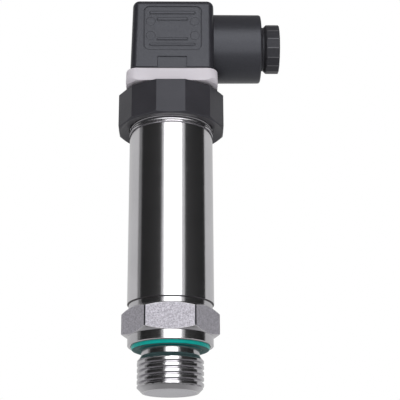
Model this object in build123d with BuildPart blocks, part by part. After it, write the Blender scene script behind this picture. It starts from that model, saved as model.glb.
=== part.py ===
from build123d import *
import math
import os

# Pressure sensor in millimetres: a stud end with a flush membrane, a hexagon, a bright tube
# with the electronics, and a square right-angle connector that a twelve-sided union nut
# clamps on top. The origin is the centre of the membrane face, +Z runs up the tube, and
# +X is the side where the cable leaves.

os.makedirs("parts", exist_ok=True)

# Clearances
running_gap = 0.08      # radial, for a piece that turns or slides in another
seat_gap = 0.05         # between flat faces of two bodies that bear on each other
pocket_gap = 0.15       # round a moulded insert in its pocket
press_gap = 0.02        # round a contact or bush pressed into plastic
wire_gap = 0.3          # between a lead and the turning contact tail that it serves
cut_margin = 0.01       # by which a turning cut clears the corners that it leaves alone
corner_reach = 0.75     # share of a piece's width that lies outside all its corners

# Stud end, G 1/2
thread_diameter = 20.955
thread_end = 11.25      # from the membrane face to the end of the run-out
thread_run_out = 1.65
tip_chamfer = 1.65
neck_undercut = 1.33    # from the thread crest down to the neck
shoulder_height = 14.3   # from the membrane face to the sealing shoulder
shoulder_edge = 0.2

# Profile seal under the shoulder
seal_groove_rim = 1.0   # steel left round the groove
seal_groove_depth = 1.5
seal_gap = 0.08
seal_lip_drop = 1.3     # how far the inner lip hangs below the shoulder
seal_lip_width = 0.16
seal_rim_drop = 0.15
seal_rim_chamfer = 0.35
seal_ridge_height = 0.12
seal_ridge_count = 3

# Hexagon
hex_across_flats = 27.0
hex_foot = 2.9          # plain shoulder below the hexagon
hex_height = 8.6
hex_chamfer_angle = 27
hex_chamfer_inset = 0.2
land_height = 1.65      # plain ring between the hexagon and the tube
tube_spigot_height = 4.0

# Measuring cell
membrane_rim = 0.63     # steel left round the membrane
membrane_thickness = 0.3
membrane_ledge = 0.9
oil_gap = 0.3
port_diameter = 2.4
cell_floor_height = 4.0
cell_bore_diameter = 12.6
header_height = 4.0
chip_size = 3.0
chip_thickness = 1.0
chip_pocket_diameter = 6.0
pin_diameter = 0.6
pin_circle_radius = 3.2
pin_count = 5
pin_length = 4.0
lock_ring_height = 2.5
lock_ring_bore = 10.0
cell_board_thickness = 1.0
cell_board_inset = 0.15

# Tube
tube_overhang = 0.24    # by which the tube stands out over the flats of the hexagon
tube_wall = 1.5
tube_length = 57.55
tube_edge = 0.3

# Threaded collar on the tube
collar_overhang = 0.26  # by which its thread stands out over the tube
collar_wall = 2.4
collar_thread_length = 9.0
collar_edge = 0.4
collar_relief_height = 0.5
collar_relief_depth = 0.7
collar_spigot_length = 6.0

# Union nut
nut_wall = 3.35         # from the thread to the flats
nut_sides = 12
nut_standoff = 1.5      # bare collar between tube and nut
nut_lip_thickness = 1.5
nut_chamfer_angle = 30
nut_chamfer_inset = 0.3
nut_mouth_flare = 0.4
nut_mouth_rise = 0.6
nut_rise = 0.375        # travel of the loosened nut

# Connector base
base_wall = 1.62        # of the spigot that holds the contact tails
base_hollow_depth = 5.0
base_spigot_length = 6.5
flange_gap = 0.48       # between the flange and the bore of the nut
flange_width = 1.7
base_flange_thickness = 1.5
neck_gap = 0.3
thrust_ring_thickness = 0.6
plate_gap = 0.225       # left under the plate when the nut is up
plate_margin = 1.45     # by which the plate stands out over the housing
plate_thickness = 4.6
plate_corner = 3.3
plate_foot_inset = 1.6  # how far the lower corners of the plate are rounded off inwards
plate_foot_rise = 1.6   # and upwards
plate_foot_angle = 20   # of the rounding where it leaves the underside
plate_top_edge = 0.3
o_ring_section = 1.2
o_ring_gap = 0.1
o_ring_height = 3.5     # above the foot of the spigot

# Contacts, as in the square connector with 18 mm between opposite blades
contact_radius = 9.0
blade_width = 6.3
blade_thickness = 0.8
blade_length = 9.0
blade_tip = 0.25
tail_width = 3.0
tail_length = 13.4
blade_slide_gap = 0.1
insert_diameter = 5.2
insert_length = 8.0

# Flat gasket
gasket_thickness = 0.85
gasket_inset = 0.45     # from the sides of the housing
gasket_corner = 2.5
gasket_slot_gap = 0.4

# Connector housing
plug_wall = 2.25
plug_draft = 0.3        # by which each side leans in over its height
plug_height = 25.0
plug_shift = 0.4        # towards the gland
plug_edge_radius = 1.8
cavity_corner = 1.0
screw_recess_gap = 0.85
screw_recess_depth = 3.95
screw_recess_floor = 1.95
guide_diameter = 6.8
barrel_height = 13.25   # gland axis above the underside of the housing
barrel_diameter = 23.4
barrel_end = 30.3       # from the tube axis to the end of the barrel
barrel_draft = 0.7
barrel_edge = 0.8
gland_thread_diameter = 16.0
gland_bore_floor = 17.0
passage_diameter = 11.0

# Moulded face of the housing
panel_width = 19.4
panel_height = 16.1
panel_corner = 1.8
panel_depth = 0.3
panel_middle = 14.25    # above the underside of the housing
panel_shift = 0.5
bar_rise = 0.28
bar_height = 0.9
long_bar_width = 15.2
short_bar_width = 10.1
long_bar_offsets = (6.05, -5.2)
short_bar_offsets = (4.05, -3.35)
mark_diameter = 3.0
mark_spacing_x = 14.6
mark_spacing_z = 4.9
mark_rise = 0.12
notch_width = 9.6
notch_height = 3.85
notch_depth = 0.4

# Insert with the terminals
block_inset = 0.3
block_height = 12.0
block_wall = 1.1        # outside the terminal pockets
sleeve_width = 7.3
sleeve_thickness = 2.2
clamp_depth = 4.6
clamp_height = 3.4
sleeve_start = 0.4
screw_channel_gap = 0.2
clamp_screw_head = 4.6
clamp_screw_head_height = 1.4
clamp_screw_diameter = 2.5
clamp_screw_length = 2.8

# Centre screw
screw_diameter = 2.9
screw_length = 28.0
screw_head_diameter = 5.5
screw_head_height = 2.2
screw_slot_width = 0.8
screw_slot_depth = 1.1
screw_seal_thickness = 0.75
screw_seal_rim = 0.15   # by which the seal stands out round the screw head

# Gland
cable_seal_length = 7.0
cable_seal_bore = 8.0
gland_washer_thickness = 0.8
gland_washer_bore = 9.2
gland_washer_gap = 0.3
gland_screw_bore = 9.8
gland_gap = 1.1         # between barrel and screw head
gland_neck_length = 0.5
gland_neck_depth = 0.6
gland_head_rim = 0.35   # by which the head stands out over its thread
gland_head_sides = 16
gland_head_length = 5.2
gland_head_chamfer = 0.9
gland_mouth_chamfer = 0.5

# Electronics
holder_height = 5.0
holder_gap = 0.1
holder_bore = 11.0
board_width = 18.0
board_length = 42.0
board_thickness = 1.6
board_seat = 1.5
board_slot_gap = 0.1
ribbon_width = 6.0
ribbon_thickness = 0.3
ribbon_lap = 6.5
chip_package = 7.0
chip_package_height = 1.6
chip_package_place = 18.0
can_diameter = 6.0
can_height = 6.5
can_places = (27.0, 7.5)
header_box_width = 12.0
header_box_depth = 5.2
header_box_height = 7.5
wire_diameter = 0.8
wire_pitch = 3.0
wire_bend_radius = 2.0
wire_rise = 3.5

# Widths worked out from the pieces that hold each other, from the hexagon up
shoulder_diameter = hex_across_flats
neck_diameter = thread_diameter - 2 * neck_undercut
seal_groove_diameter = shoulder_diameter - 2 * seal_groove_rim
membrane_diameter = thread_diameter - 2 * tip_chamfer - 2 * membrane_rim
tube_diameter = hex_across_flats + 2 * tube_overhang
tube_bore = tube_diameter - 2 * tube_wall
collar_thread_diameter = tube_diameter + 2 * collar_overhang
collar_bore_diameter = collar_thread_diameter - 2 * collar_wall
spigot_radius = collar_bore_diameter / 2 - running_gap
nut_across_flats = collar_thread_diameter + 2 * nut_wall
nut_bore = collar_thread_diameter / 2 + running_gap
base_flange_diameter = 2 * (nut_bore - flange_gap)
base_neck_diameter = base_flange_diameter - 2 * flange_width
lip_bore = base_neck_diameter / 2 + neck_gap

# Widths of the connector, from its contacts outwards
pocket_outer = contact_radius + sleeve_thickness / 2 + pocket_gap
block_width = 2 * (pocket_outer + block_wall)
cavity_width = block_width + 2 * pocket_gap
plug_width = cavity_width + 2 * plug_wall
plug_top_width = plug_width - 2 * plug_draft
plug_depth = plug_width
gasket_width = plug_width - 2 * gasket_inset
plate_width = plug_width + 2 * plate_margin
screw_channel_diameter = screw_diameter + 2 * screw_channel_gap
screw_recess_diameter = screw_head_diameter + 2 * screw_recess_gap
gland_head_diameter = gland_thread_diameter + 2 * gland_head_rim

# Heights worked out from the stack of pieces
shoulder_z = shoulder_height
hex_z = shoulder_z + hex_foot
hex_top_z = hex_z + hex_height
tube_z = hex_top_z + land_height
spigot_top_z = tube_z + tube_spigot_height
tube_top_z = tube_z + tube_length
collar_thread_z = tube_top_z + collar_relief_height
collar_top_z = collar_thread_z + collar_thread_length
flange_z = collar_top_z + seat_gap
base_foot_z = flange_z - base_spigot_length
flange_top_z = flange_z + base_flange_thickness
thrust_z = flange_top_z + seat_gap
thrust_top_z = thrust_z + thrust_ring_thickness
lip_z = thrust_top_z + seat_gap
nut_z = tube_top_z + nut_standoff
nut_top_z = lip_z + nut_lip_thickness
plate_z = nut_top_z + nut_rise + plate_gap
plate_top_z = plate_z + plate_thickness
plug_z = plate_top_z + gasket_thickness
plug_top_z = plug_z + plug_height
gland_z = plug_z + barrel_height
recess_z = plug_top_z - screw_recess_depth
cavity_top_z = recess_z - screw_recess_floor
block_z = plug_z + block_inset
block_top_z = block_z + block_height
clamp_z = block_top_z - clamp_height
holder_top_z = spigot_top_z + holder_height
board_z = spigot_top_z + board_seat
board_top_z = board_z + board_length
cell_top_z = cell_floor_height + header_height
cell_board_z = cell_top_z + pin_length - cell_board_thickness
pin_top_z = cell_top_z + pin_length

contact_names = ("1", "3", "2", "earth")
contact_angles = dict(zip(contact_names, (0, 90, 180, 270)))


def hexagon_blank():
    """The spanner hexagon with both ends turned to a cone."""
    slope = math.tan(math.radians(hex_chamfer_angle))
    inner = hex_across_flats / 2 - hex_chamfer_inset
    outer = hex_across_flats * corner_reach
    rise = (outer - inner) * slope
    with BuildPart() as blank:
        with BuildSketch(Plane.XY.offset(hex_z)):
            RegularPolygon(hex_across_flats / 2, 6, major_radius=False)
        extrude(amount=hex_height)
        with BuildSketch(Plane.XZ):
            with BuildLine():
                Polyline(
                    (0, hex_z), (inner, hex_z), (outer, hex_z + rise),
                    (outer, hex_top_z - rise), (inner, hex_top_z), (0, hex_top_z), close=True
                )
            make_face()
        revolve(axis=Axis.Z, mode=Mode.INTERSECT)
    return blank.part


hexagon = hexagon_blank()

# The stud end: thread blank, neck, shoulder with its seal groove, hexagon, spigot for the tube
with BuildPart() as process_connection:
    with BuildSketch(Plane.XZ):
        with BuildLine():
            Polyline(
                (0, 0),
                (thread_diameter / 2 - tip_chamfer, 0),
                (thread_diameter / 2, tip_chamfer),
                (thread_diameter / 2, thread_end - thread_run_out),
                (neck_diameter / 2, thread_end),
                (neck_diameter / 2, shoulder_z + seal_groove_depth),
                (seal_groove_diameter / 2, shoulder_z + seal_groove_depth),
                (seal_groove_diameter / 2, shoulder_z),
                (shoulder_diameter / 2 - shoulder_edge, shoulder_z),
                (shoulder_diameter / 2, shoulder_z + shoulder_edge),
                (shoulder_diameter / 2, hex_z),
                (hex_across_flats / 2 - hex_chamfer_inset, hex_z),
                (hex_across_flats / 2 - hex_chamfer_inset, tube_z),
                (tube_bore / 2 - press_gap, tube_z),
                (tube_bore / 2 - press_gap, spigot_top_z),
                (0, spigot_top_z),
                close=True,
            )
        make_face()
    revolve(axis=Axis.Z)
    add(hexagon)
    with BuildSketch(Plane.XZ):
        with BuildLine():
            Polyline(
                (0, 0),
                (membrane_diameter / 2, 0),
                (membrane_diameter / 2, membrane_thickness),
                (membrane_diameter / 2 - membrane_ledge, membrane_thickness),
                (membrane_diameter / 2 - membrane_ledge, membrane_thickness + oil_gap),
                (port_diameter / 2, membrane_thickness + oil_gap),
                (port_diameter / 2, cell_floor_height - chip_thickness - oil_gap),
                (chip_pocket_diameter / 2, cell_floor_height - chip_thickness - oil_gap),
                (chip_pocket_diameter / 2, cell_floor_height),
                (cell_bore_diameter / 2, cell_floor_height),
                (cell_bore_diameter / 2, spigot_top_z),
                (0, spigot_top_z),
                close=True,
            )
        make_face()
    revolve(axis=Axis.Z, mode=Mode.SUBTRACT)
process_connection.part.label = "process_connection"
export_step(process_connection.part, "parts/process_connection.step")

with BuildPart() as membrane:
    with BuildSketch(Plane.XY):
        Circle(membrane_diameter / 2)
    extrude(amount=membrane_thickness)
membrane.part.label = "membrane"
export_step(membrane.part, "parts/membrane.step")

# Profile ring: flat in its groove, with a cone that hangs down to a lip round the neck and
# fine concentric ridges on the cone
seal_outer = seal_groove_diameter / 2 - seal_gap
seal_inner = neck_diameter / 2 + seal_gap
seal_lip_z = shoulder_z - seal_lip_drop
seal_rim_z = shoulder_z - seal_rim_drop
seal_cone_start = seal_inner + seal_lip_width
seal_cone_end = seal_outer - seal_rim_chamfer
with BuildPart() as seal_ring:
    with BuildSketch(Plane.XZ):
        with BuildLine():
            Polyline(
                (seal_inner, seal_lip_z),
                (seal_cone_start, seal_lip_z),
                (seal_cone_end, seal_rim_z - seal_rim_chamfer),
                (seal_outer, seal_rim_z),
                (seal_outer, shoulder_z + seal_groove_depth),
                (seal_inner, shoulder_z + seal_groove_depth),
                close=True,
            )
        make_face()
    revolve(axis=Axis.Z)
    cone_fall = (seal_rim_z - seal_rim_chamfer - seal_lip_z) / (seal_cone_end - seal_cone_start)
    for step in range(seal_ridge_count):
        share = (step + 1) / (seal_ridge_count + 1)
        ridge_radius = seal_cone_start + share * (seal_cone_end - seal_cone_start)
        ridge_z = seal_lip_z + (ridge_radius - seal_cone_start) * cone_fall
        with BuildSketch(Plane.XZ):
            with BuildLine():
                Polyline(
                    (ridge_radius - 2 * seal_ridge_height, ridge_z + seal_ridge_height),
                    (ridge_radius, ridge_z - seal_ridge_height),
                    (ridge_radius + 2 * seal_ridge_height, ridge_z + 2 * seal_ridge_height),
                    close=True,
                )
            make_face()
        revolve(axis=Axis.Z)
seal_ring.part.label = "seal_ring"
export_step(seal_ring.part, "parts/seal_ring.step")

# Measuring cell: glass-sealed header with its chip and pins, locked by a threaded ring
with BuildPart() as cell_header:
    with BuildSketch(Plane.XY.offset(cell_floor_height)):
        Circle(cell_bore_diameter / 2 - press_gap)
        with PolarLocations(pin_circle_radius, pin_count):
            Circle(pin_diameter / 2, mode=Mode.SUBTRACT)
    extrude(amount=header_height)
cell_header.part.label = "cell_header"
export_step(cell_header.part, "parts/cell_header.step")

with BuildPart() as pressure_chip:
    with BuildSketch(Plane.XY.offset(cell_floor_height - chip_thickness)):
        Rectangle(chip_size, chip_size)
    extrude(amount=chip_thickness)
pressure_chip.part.label = "pressure_chip"
export_step(pressure_chip.part, "parts/pressure_chip.step")

with BuildPart() as header_pins:
    with BuildSketch(Plane.XY.offset(cell_floor_height)):
        with PolarLocations(pin_circle_radius, pin_count):
            Circle(pin_diameter / 2 - press_gap)
    extrude(amount=pin_top_z - cell_floor_height)
header_pins.part.label = "header_pins"
export_step(header_pins.part, "parts/header_pins.step")

with BuildPart() as cell_lock_ring:
    with BuildSketch(Plane.XY.offset(cell_top_z)):
        Circle(cell_bore_diameter / 2 - press_gap)
        Circle(lock_ring_bore / 2, mode=Mode.SUBTRACT)
    extrude(amount=lock_ring_height)
cell_lock_ring.part.label = "cell_lock_ring"
export_step(cell_lock_ring.part, "parts/cell_lock_ring.step")

with BuildPart() as cell_board:
    with BuildSketch(Plane.XY.offset(cell_board_z)):
        Circle(cell_bore_diameter / 2 - cell_board_inset)
        with PolarLocations(pin_circle_radius, pin_count):
            Circle(pin_diameter / 2, mode=Mode.SUBTRACT)
    extrude(amount=cell_board_thickness)
cell_board.part.label = "cell_board"
export_step(cell_board.part, "parts/cell_board.step")

# Flat lead from the cell board up the face of the circuit board
with BuildPart() as sensor_ribbon:
    with BuildSketch(Plane.XY.offset(pin_top_z)):
        with Locations((0, board_thickness / 2 + board_slot_gap + ribbon_thickness / 2)):
            Rectangle(ribbon_width, ribbon_thickness)
    extrude(amount=board_z + ribbon_lap - pin_top_z)
sensor_ribbon.part.label = "sensor_ribbon"
export_step(sensor_ribbon.part, "parts/sensor_ribbon.step")

with BuildPart() as housing_tube:
    with BuildSketch(Plane.XY.offset(tube_z)):
        Circle(tube_diameter / 2)
    extrude(amount=tube_length)
    chamfer(edges().filter_by(GeomType.CIRCLE), length=tube_edge)
    with BuildSketch(Plane.XY.offset(tube_z)):
        Circle(tube_bore / 2)
    extrude(amount=tube_length, mode=Mode.SUBTRACT)
housing_tube.part.label = "housing_tube"
export_step(housing_tube.part, "parts/housing_tube.step")

# Collar: pressed and welded into the tube, threaded outside for the union nut
with BuildPart() as threaded_collar:
    with BuildSketch(Plane.XZ):
        with BuildLine():
            Polyline(
                (collar_bore_diameter / 2, tube_top_z - collar_spigot_length),
                (tube_bore / 2 - press_gap, tube_top_z - collar_spigot_length),
                (tube_bore / 2 - press_gap, tube_top_z),
                (collar_thread_diameter / 2 - collar_relief_depth, tube_top_z),
                (collar_thread_diameter / 2 - collar_relief_depth, collar_thread_z),
                (collar_thread_diameter / 2 - collar_edge, collar_thread_z),
                (collar_thread_diameter / 2, collar_thread_z + collar_edge),
                (collar_thread_diameter / 2, collar_top_z - collar_edge),
                (collar_thread_diameter / 2 - collar_edge, collar_top_z),
                (collar_bore_diameter / 2, collar_top_z),
                close=True,
            )
        make_face()
    revolve(axis=Axis.Z)
threaded_collar.part.label = "threaded_collar"
export_step(threaded_collar.part, "parts/threaded_collar.step")

# Electronics in the tube
with BuildPart() as board_holder:
    with BuildSketch(Plane.XY.offset(spigot_top_z)):
        Circle(tube_bore / 2 - holder_gap)
        Circle(holder_bore / 2, mode=Mode.SUBTRACT)
    extrude(amount=holder_height)
    with BuildSketch(Plane.XY.offset(board_z)):
        Rectangle(board_width + 2 * board_slot_gap, board_thickness + 2 * board_slot_gap)
    extrude(amount=holder_top_z - board_z, mode=Mode.SUBTRACT)
board_holder.part.label = "board_holder"
export_step(board_holder.part, "parts/board_holder.step")

with BuildPart() as circuit_board:
    with BuildSketch(Plane.XY.offset(board_z)):
        Rectangle(board_width, board_thickness)
    extrude(amount=board_length)
circuit_board.part.label = "circuit_board"
export_step(circuit_board.part, "parts/circuit_board.step")

board_face = Plane.XZ.offset(board_thickness / 2)

with BuildPart() as amplifier_chip:
    with BuildSketch(board_face):
        with Locations((0, board_z + chip_package_place)):
            Rectangle(chip_package, chip_package)
    extrude(amount=chip_package_height)
amplifier_chip.part.label = "amplifier_chip"
export_step(amplifier_chip.part, "parts/amplifier_chip.step")

with BuildPart() as board_capacitors:
    with BuildSketch(board_face):
        for place in can_places:
            with Locations((0, board_z + place)):
                Circle(can_diameter / 2)
    extrude(amount=can_height)
board_capacitors.part.label = "board_capacitors"
export_step(board_capacitors.part, "parts/board_capacitors.step")

with BuildPart() as board_plug:
    with BuildSketch(board_face):
        with Locations((0, board_top_z - header_box_height / 2)):
            Rectangle(header_box_width, header_box_height)
    extrude(amount=header_box_depth)
board_plug.part.label = "board_plug"
export_step(board_plug.part, "parts/board_plug.step")

# Each wire rises from the board plug, swings out to its contact and stops under the tail
tail_z = plate_top_z - tail_length
wire_top_z = tail_z - wire_gap
wire_y = -(board_thickness + header_box_depth) / 2
wire_order = ("2", "earth", "3", "1")
with BuildPart() as lead_wires:
    for name, angle in contact_angles.items():
        start_x = (wire_order.index(name) - (len(wire_order) - 1) / 2) * wire_pitch
        end_x = contact_radius * math.cos(math.radians(angle))
        end_y = contact_radius * math.sin(math.radians(angle))
        with BuildLine() as wire_path:
            FilletPolyline(
                (start_x, wire_y, board_top_z),
                (start_x, wire_y, board_top_z + wire_rise),
                (end_x, end_y, wire_top_z - wire_rise),
                (end_x, end_y, wire_top_z),
                radius=wire_bend_radius,
            )
        with BuildSketch(Plane.XY.offset(board_top_z)):
            with Locations((start_x, wire_y)):
                Circle(wire_diameter / 2)
        sweep(path=wire_path.wire())
lead_wires.part.label = "lead_wires"
export_step(lead_wires.part, "parts/lead_wires.step")

# Union nut: twelve flats, turned at the lower end, a shallow cone underneath, a threaded bore
# that runs on the collar and a lip that draws the base down
nut_slope = math.tan(math.radians(nut_chamfer_angle))
nut_inner = nut_across_flats / 2 - nut_chamfer_inset
nut_outer = nut_across_flats * corner_reach
nut_cone = (nut_outer - nut_inner) * nut_slope
with BuildPart() as union_nut:
    with BuildSketch(Plane.XY.offset(nut_z)):
        RegularPolygon(nut_across_flats / 2, nut_sides, major_radius=False, rotation=180 / nut_sides)
    extrude(amount=nut_top_z - nut_z)
    with BuildSketch(Plane.XZ):
        with BuildLine():
            Polyline(
                (lip_bore, nut_top_z),
                (nut_outer, nut_top_z),
                (nut_outer, nut_z + nut_cone),
                (nut_inner, nut_z),
                (collar_thread_diameter / 2 + nut_mouth_flare, nut_z + nut_mouth_rise),
                (nut_bore, nut_z + nut_mouth_rise),
                (nut_bore, lip_z),
                (lip_bore, lip_z),
                close=True,
            )
        make_face()
    revolve(axis=Axis.Z, mode=Mode.INTERSECT)
union_nut.part.label = "union_nut"
export_step(union_nut.part, "parts/union_nut.step")

with BuildPart() as thrust_ring:
    with BuildSketch(Plane.XY.offset(thrust_z)):
        Circle(nut_bore - neck_gap)
        Circle(lip_bore, mode=Mode.SUBTRACT)
    extrude(amount=thrust_ring_thickness)
thrust_ring.part.label = "thrust_ring"
export_step(thrust_ring.part, "parts/thrust_ring.step")

# Plate of the connector base: a rounded square whose lower corners are rounded towards the nut
foot_lean = math.radians(plate_foot_angle)
foot_start = (math.cos(foot_lean), math.sin(foot_lean))
plate_reach = plate_width / math.sqrt(2) - plate_corner * (math.sqrt(2) - 1) + cut_margin
with BuildPart() as base_plate:
    with BuildSketch(Plane.XY.offset(plate_z)):
        RectangleRounded(plate_width, plate_width, plate_corner)
    extrude(amount=plate_thickness)
    chamfer(faces().sort_by(Axis.Z)[-1].edges(), length=plate_top_edge)
    with BuildSketch(Plane.XZ):
        with BuildLine():
            foot = (plate_reach - plate_foot_inset, plate_z)
            brim = (plate_reach, plate_z + plate_foot_rise)
            Line((0, plate_z), foot)
            TangentArc(foot, brim, tangent=foot_start)
            Polyline(brim, (plate_reach, plate_top_z), (0, plate_top_z), (0, plate_z))
        make_face()
    revolve(axis=Axis.Z, mode=Mode.INTERSECT)

# Connector base: spigot in the collar, flange under the nut, neck and plate in one moulding
o_ring_middle = spigot_radius - o_ring_section / 2
o_ring_z = base_foot_z + o_ring_height
with BuildPart() as connector_base:
    with BuildSketch(Plane.XZ):
        with BuildLine():
            Polyline(
                (0, base_foot_z + base_hollow_depth),
                (spigot_radius - base_wall, base_foot_z + base_hollow_depth),
                (spigot_radius - base_wall, base_foot_z),
                (spigot_radius, base_foot_z),
                (spigot_radius, o_ring_z - o_ring_section / 2 - o_ring_gap),
                (o_ring_middle - o_ring_section / 2, o_ring_z - o_ring_section / 2 - o_ring_gap),
                (o_ring_middle - o_ring_section / 2, o_ring_z + o_ring_section / 2 + o_ring_gap),
                (spigot_radius, o_ring_z + o_ring_section / 2 + o_ring_gap),
                (spigot_radius, flange_z),
                (base_flange_diameter / 2, flange_z),
                (base_flange_diameter / 2, flange_top_z),
                (base_neck_diameter / 2, flange_top_z),
                (base_neck_diameter / 2, plate_z),
                (0, plate_z),
                close=True,
            )
        make_face()
    revolve(axis=Axis.Z)
    add(base_plate.part)
    with BuildSketch(Plane.XY.offset(plate_top_z)):
        for angle in contact_angles.values():
            with PolarLocations(contact_radius, 1, start_angle=angle):
                Rectangle(blade_thickness + 2 * press_gap, blade_width + 2 * press_gap)
    extrude(amount=base_foot_z - plate_top_z, mode=Mode.SUBTRACT)
    with BuildSketch(Plane.XY.offset(plate_top_z)):
        Circle(insert_diameter / 2 + press_gap)
    extrude(amount=-insert_length, mode=Mode.SUBTRACT)
connector_base.part.label = "connector_base"
export_step(connector_base.part, "parts/connector_base.step")

with BuildPart() as base_o_ring:
    with BuildSketch(Plane.XZ):
        with Locations((o_ring_middle, o_ring_z)):
            Circle(o_ring_section / 2)
    revolve(axis=Axis.Z)
base_o_ring.part.label = "base_o_ring"
export_step(base_o_ring.part, "parts/base_o_ring.step")

with BuildPart() as screw_insert:
    with BuildSketch(Plane.XY.offset(plate_top_z - insert_length)):
        Circle(insert_diameter / 2)
        Circle(screw_diameter / 2 + running_gap, mode=Mode.SUBTRACT)
    extrude(amount=insert_length)
screw_insert.part.label = "screw_insert"
export_step(screw_insert.part, "parts/screw_insert.step")


def contact_blade(name):
    """A flat blade above the base and a narrow solder tail below it."""
    around = Plane((0, 0, 0), x_dir=(math.cos(math.radians(contact_angles[name])),
                                    math.sin(math.radians(contact_angles[name])), 0))
    blade_foot_z = base_foot_z + base_hollow_depth
    with BuildPart() as blade:
        with BuildSketch(around.offset(blade_foot_z)):
            with Locations((contact_radius, 0)):
                Rectangle(blade_thickness, blade_width)
        extrude(amount=plate_top_z + blade_length - blade_foot_z)
        chamfer(blade.faces().sort_by(Axis.Z)[-1].edges(), length=blade_tip)
        with BuildSketch(around.offset(tail_z)):
            with Locations((contact_radius, 0)):
                Rectangle(blade_thickness, tail_width)
        extrude(amount=blade_foot_z - tail_z)
    return blade.part


def contact_terminal(name):
    """A sleeve that the blade slides into, with a clamp block for the wire on top."""
    around = Plane((0, 0, 0), x_dir=(math.cos(math.radians(contact_angles[name])),
                                    math.sin(math.radians(contact_angles[name])), 0))
    outer_face = contact_radius + sleeve_thickness / 2
    with BuildPart() as terminal:
        with BuildSketch(around.offset(block_z + sleeve_start)):
            with Locations((contact_radius, 0)):
                Rectangle(sleeve_thickness, sleeve_width)
                Rectangle(blade_thickness + 2 * blade_slide_gap, blade_width + 2 * blade_slide_gap,
                          mode=Mode.SUBTRACT)
        extrude(amount=clamp_z - block_z - sleeve_start)
        with BuildSketch(around.offset(clamp_z)):
            with Locations((outer_face - clamp_depth / 2, 0)):
                Rectangle(clamp_depth, sleeve_width)
                Circle(clamp_screw_diameter / 2 + press_gap, mode=Mode.SUBTRACT)
        extrude(amount=clamp_height)
    return terminal.part


blades = {}
terminals = {}
for contact in contact_names:
    blades[contact] = contact_blade(contact)
    terminals[contact] = contact_terminal(contact)
    blades[contact].label = "earth_blade" if contact == "earth" else "contact_blade_" + contact
    terminals[contact].label = "terminal_" + contact
    export_step(blades[contact], "parts/" + blades[contact].label + ".step")
    export_step(terminals[contact], "parts/" + terminals[contact].label + ".step")

with BuildPart() as base_gasket:
    with BuildSketch(Plane.XY.offset(plate_top_z)):
        RectangleRounded(gasket_width, gasket_width, gasket_corner)
        Circle(insert_diameter / 2, mode=Mode.SUBTRACT)
        for angle in contact_angles.values():
            with PolarLocations(contact_radius, 1, start_angle=angle):
                Rectangle(blade_thickness + 2 * gasket_slot_gap, blade_width + 2 * gasket_slot_gap,
                          mode=Mode.SUBTRACT)
    extrude(amount=gasket_thickness)
base_gasket.part.label = "base_gasket"
export_step(base_gasket.part, "parts/base_gasket.step")

# Insert of the connector: four pockets round the channel of the centre screw
with BuildPart() as contact_block:
    with BuildSketch(Plane.XY.offset(block_z)):
        RectangleRounded(block_width, block_width, cavity_corner)
        Circle(screw_channel_diameter / 2, mode=Mode.SUBTRACT)
    extrude(amount=block_height)
    with BuildSketch(Plane.XY.offset(block_z)):
        for angle in contact_angles.values():
            with PolarLocations(contact_radius, 1, start_angle=angle):
                Rectangle(blade_thickness + 2 * blade_slide_gap, blade_width + 2 * blade_slide_gap)
    extrude(amount=sleeve_start, mode=Mode.SUBTRACT)
    with BuildSketch(Plane.XY.offset(block_z + sleeve_start)):
        for angle in contact_angles.values():
            with PolarLocations(contact_radius, 1, start_angle=angle):
                Rectangle(sleeve_thickness + 2 * pocket_gap, sleeve_width + 2 * pocket_gap)
    extrude(amount=clamp_z - block_z - sleeve_start, mode=Mode.SUBTRACT)
    clamp_pocket = clamp_depth + 2 * pocket_gap
    with BuildSketch(Plane.XY.offset(clamp_z)):
        for angle in contact_angles.values():
            with PolarLocations(pocket_outer - clamp_pocket / 2, 1, start_angle=angle):
                Rectangle(clamp_pocket, sleeve_width + 2 * pocket_gap)
    extrude(amount=clamp_height, mode=Mode.SUBTRACT)
contact_block.part.label = "contact_block"
export_step(contact_block.part, "parts/contact_block.step")

clamp_middle = contact_radius + sleeve_thickness / 2 - clamp_depth / 2
with BuildPart() as terminal_screws:
    for angle in contact_angles.values():
        with BuildSketch(Plane.XY.offset(block_top_z)):
            with PolarLocations(clamp_middle, 1, start_angle=angle):
                Circle(clamp_screw_head / 2)
        extrude(amount=clamp_screw_head_height)
        with BuildSketch(Plane.XY.offset(block_top_z)):
            with PolarLocations(clamp_middle, 1, start_angle=angle):
                Circle(clamp_screw_diameter / 2)
        extrude(amount=-clamp_screw_length)
terminal_screws.part.label = "terminal_screws"
export_step(terminal_screws.part, "parts/terminal_screws.step")

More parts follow.
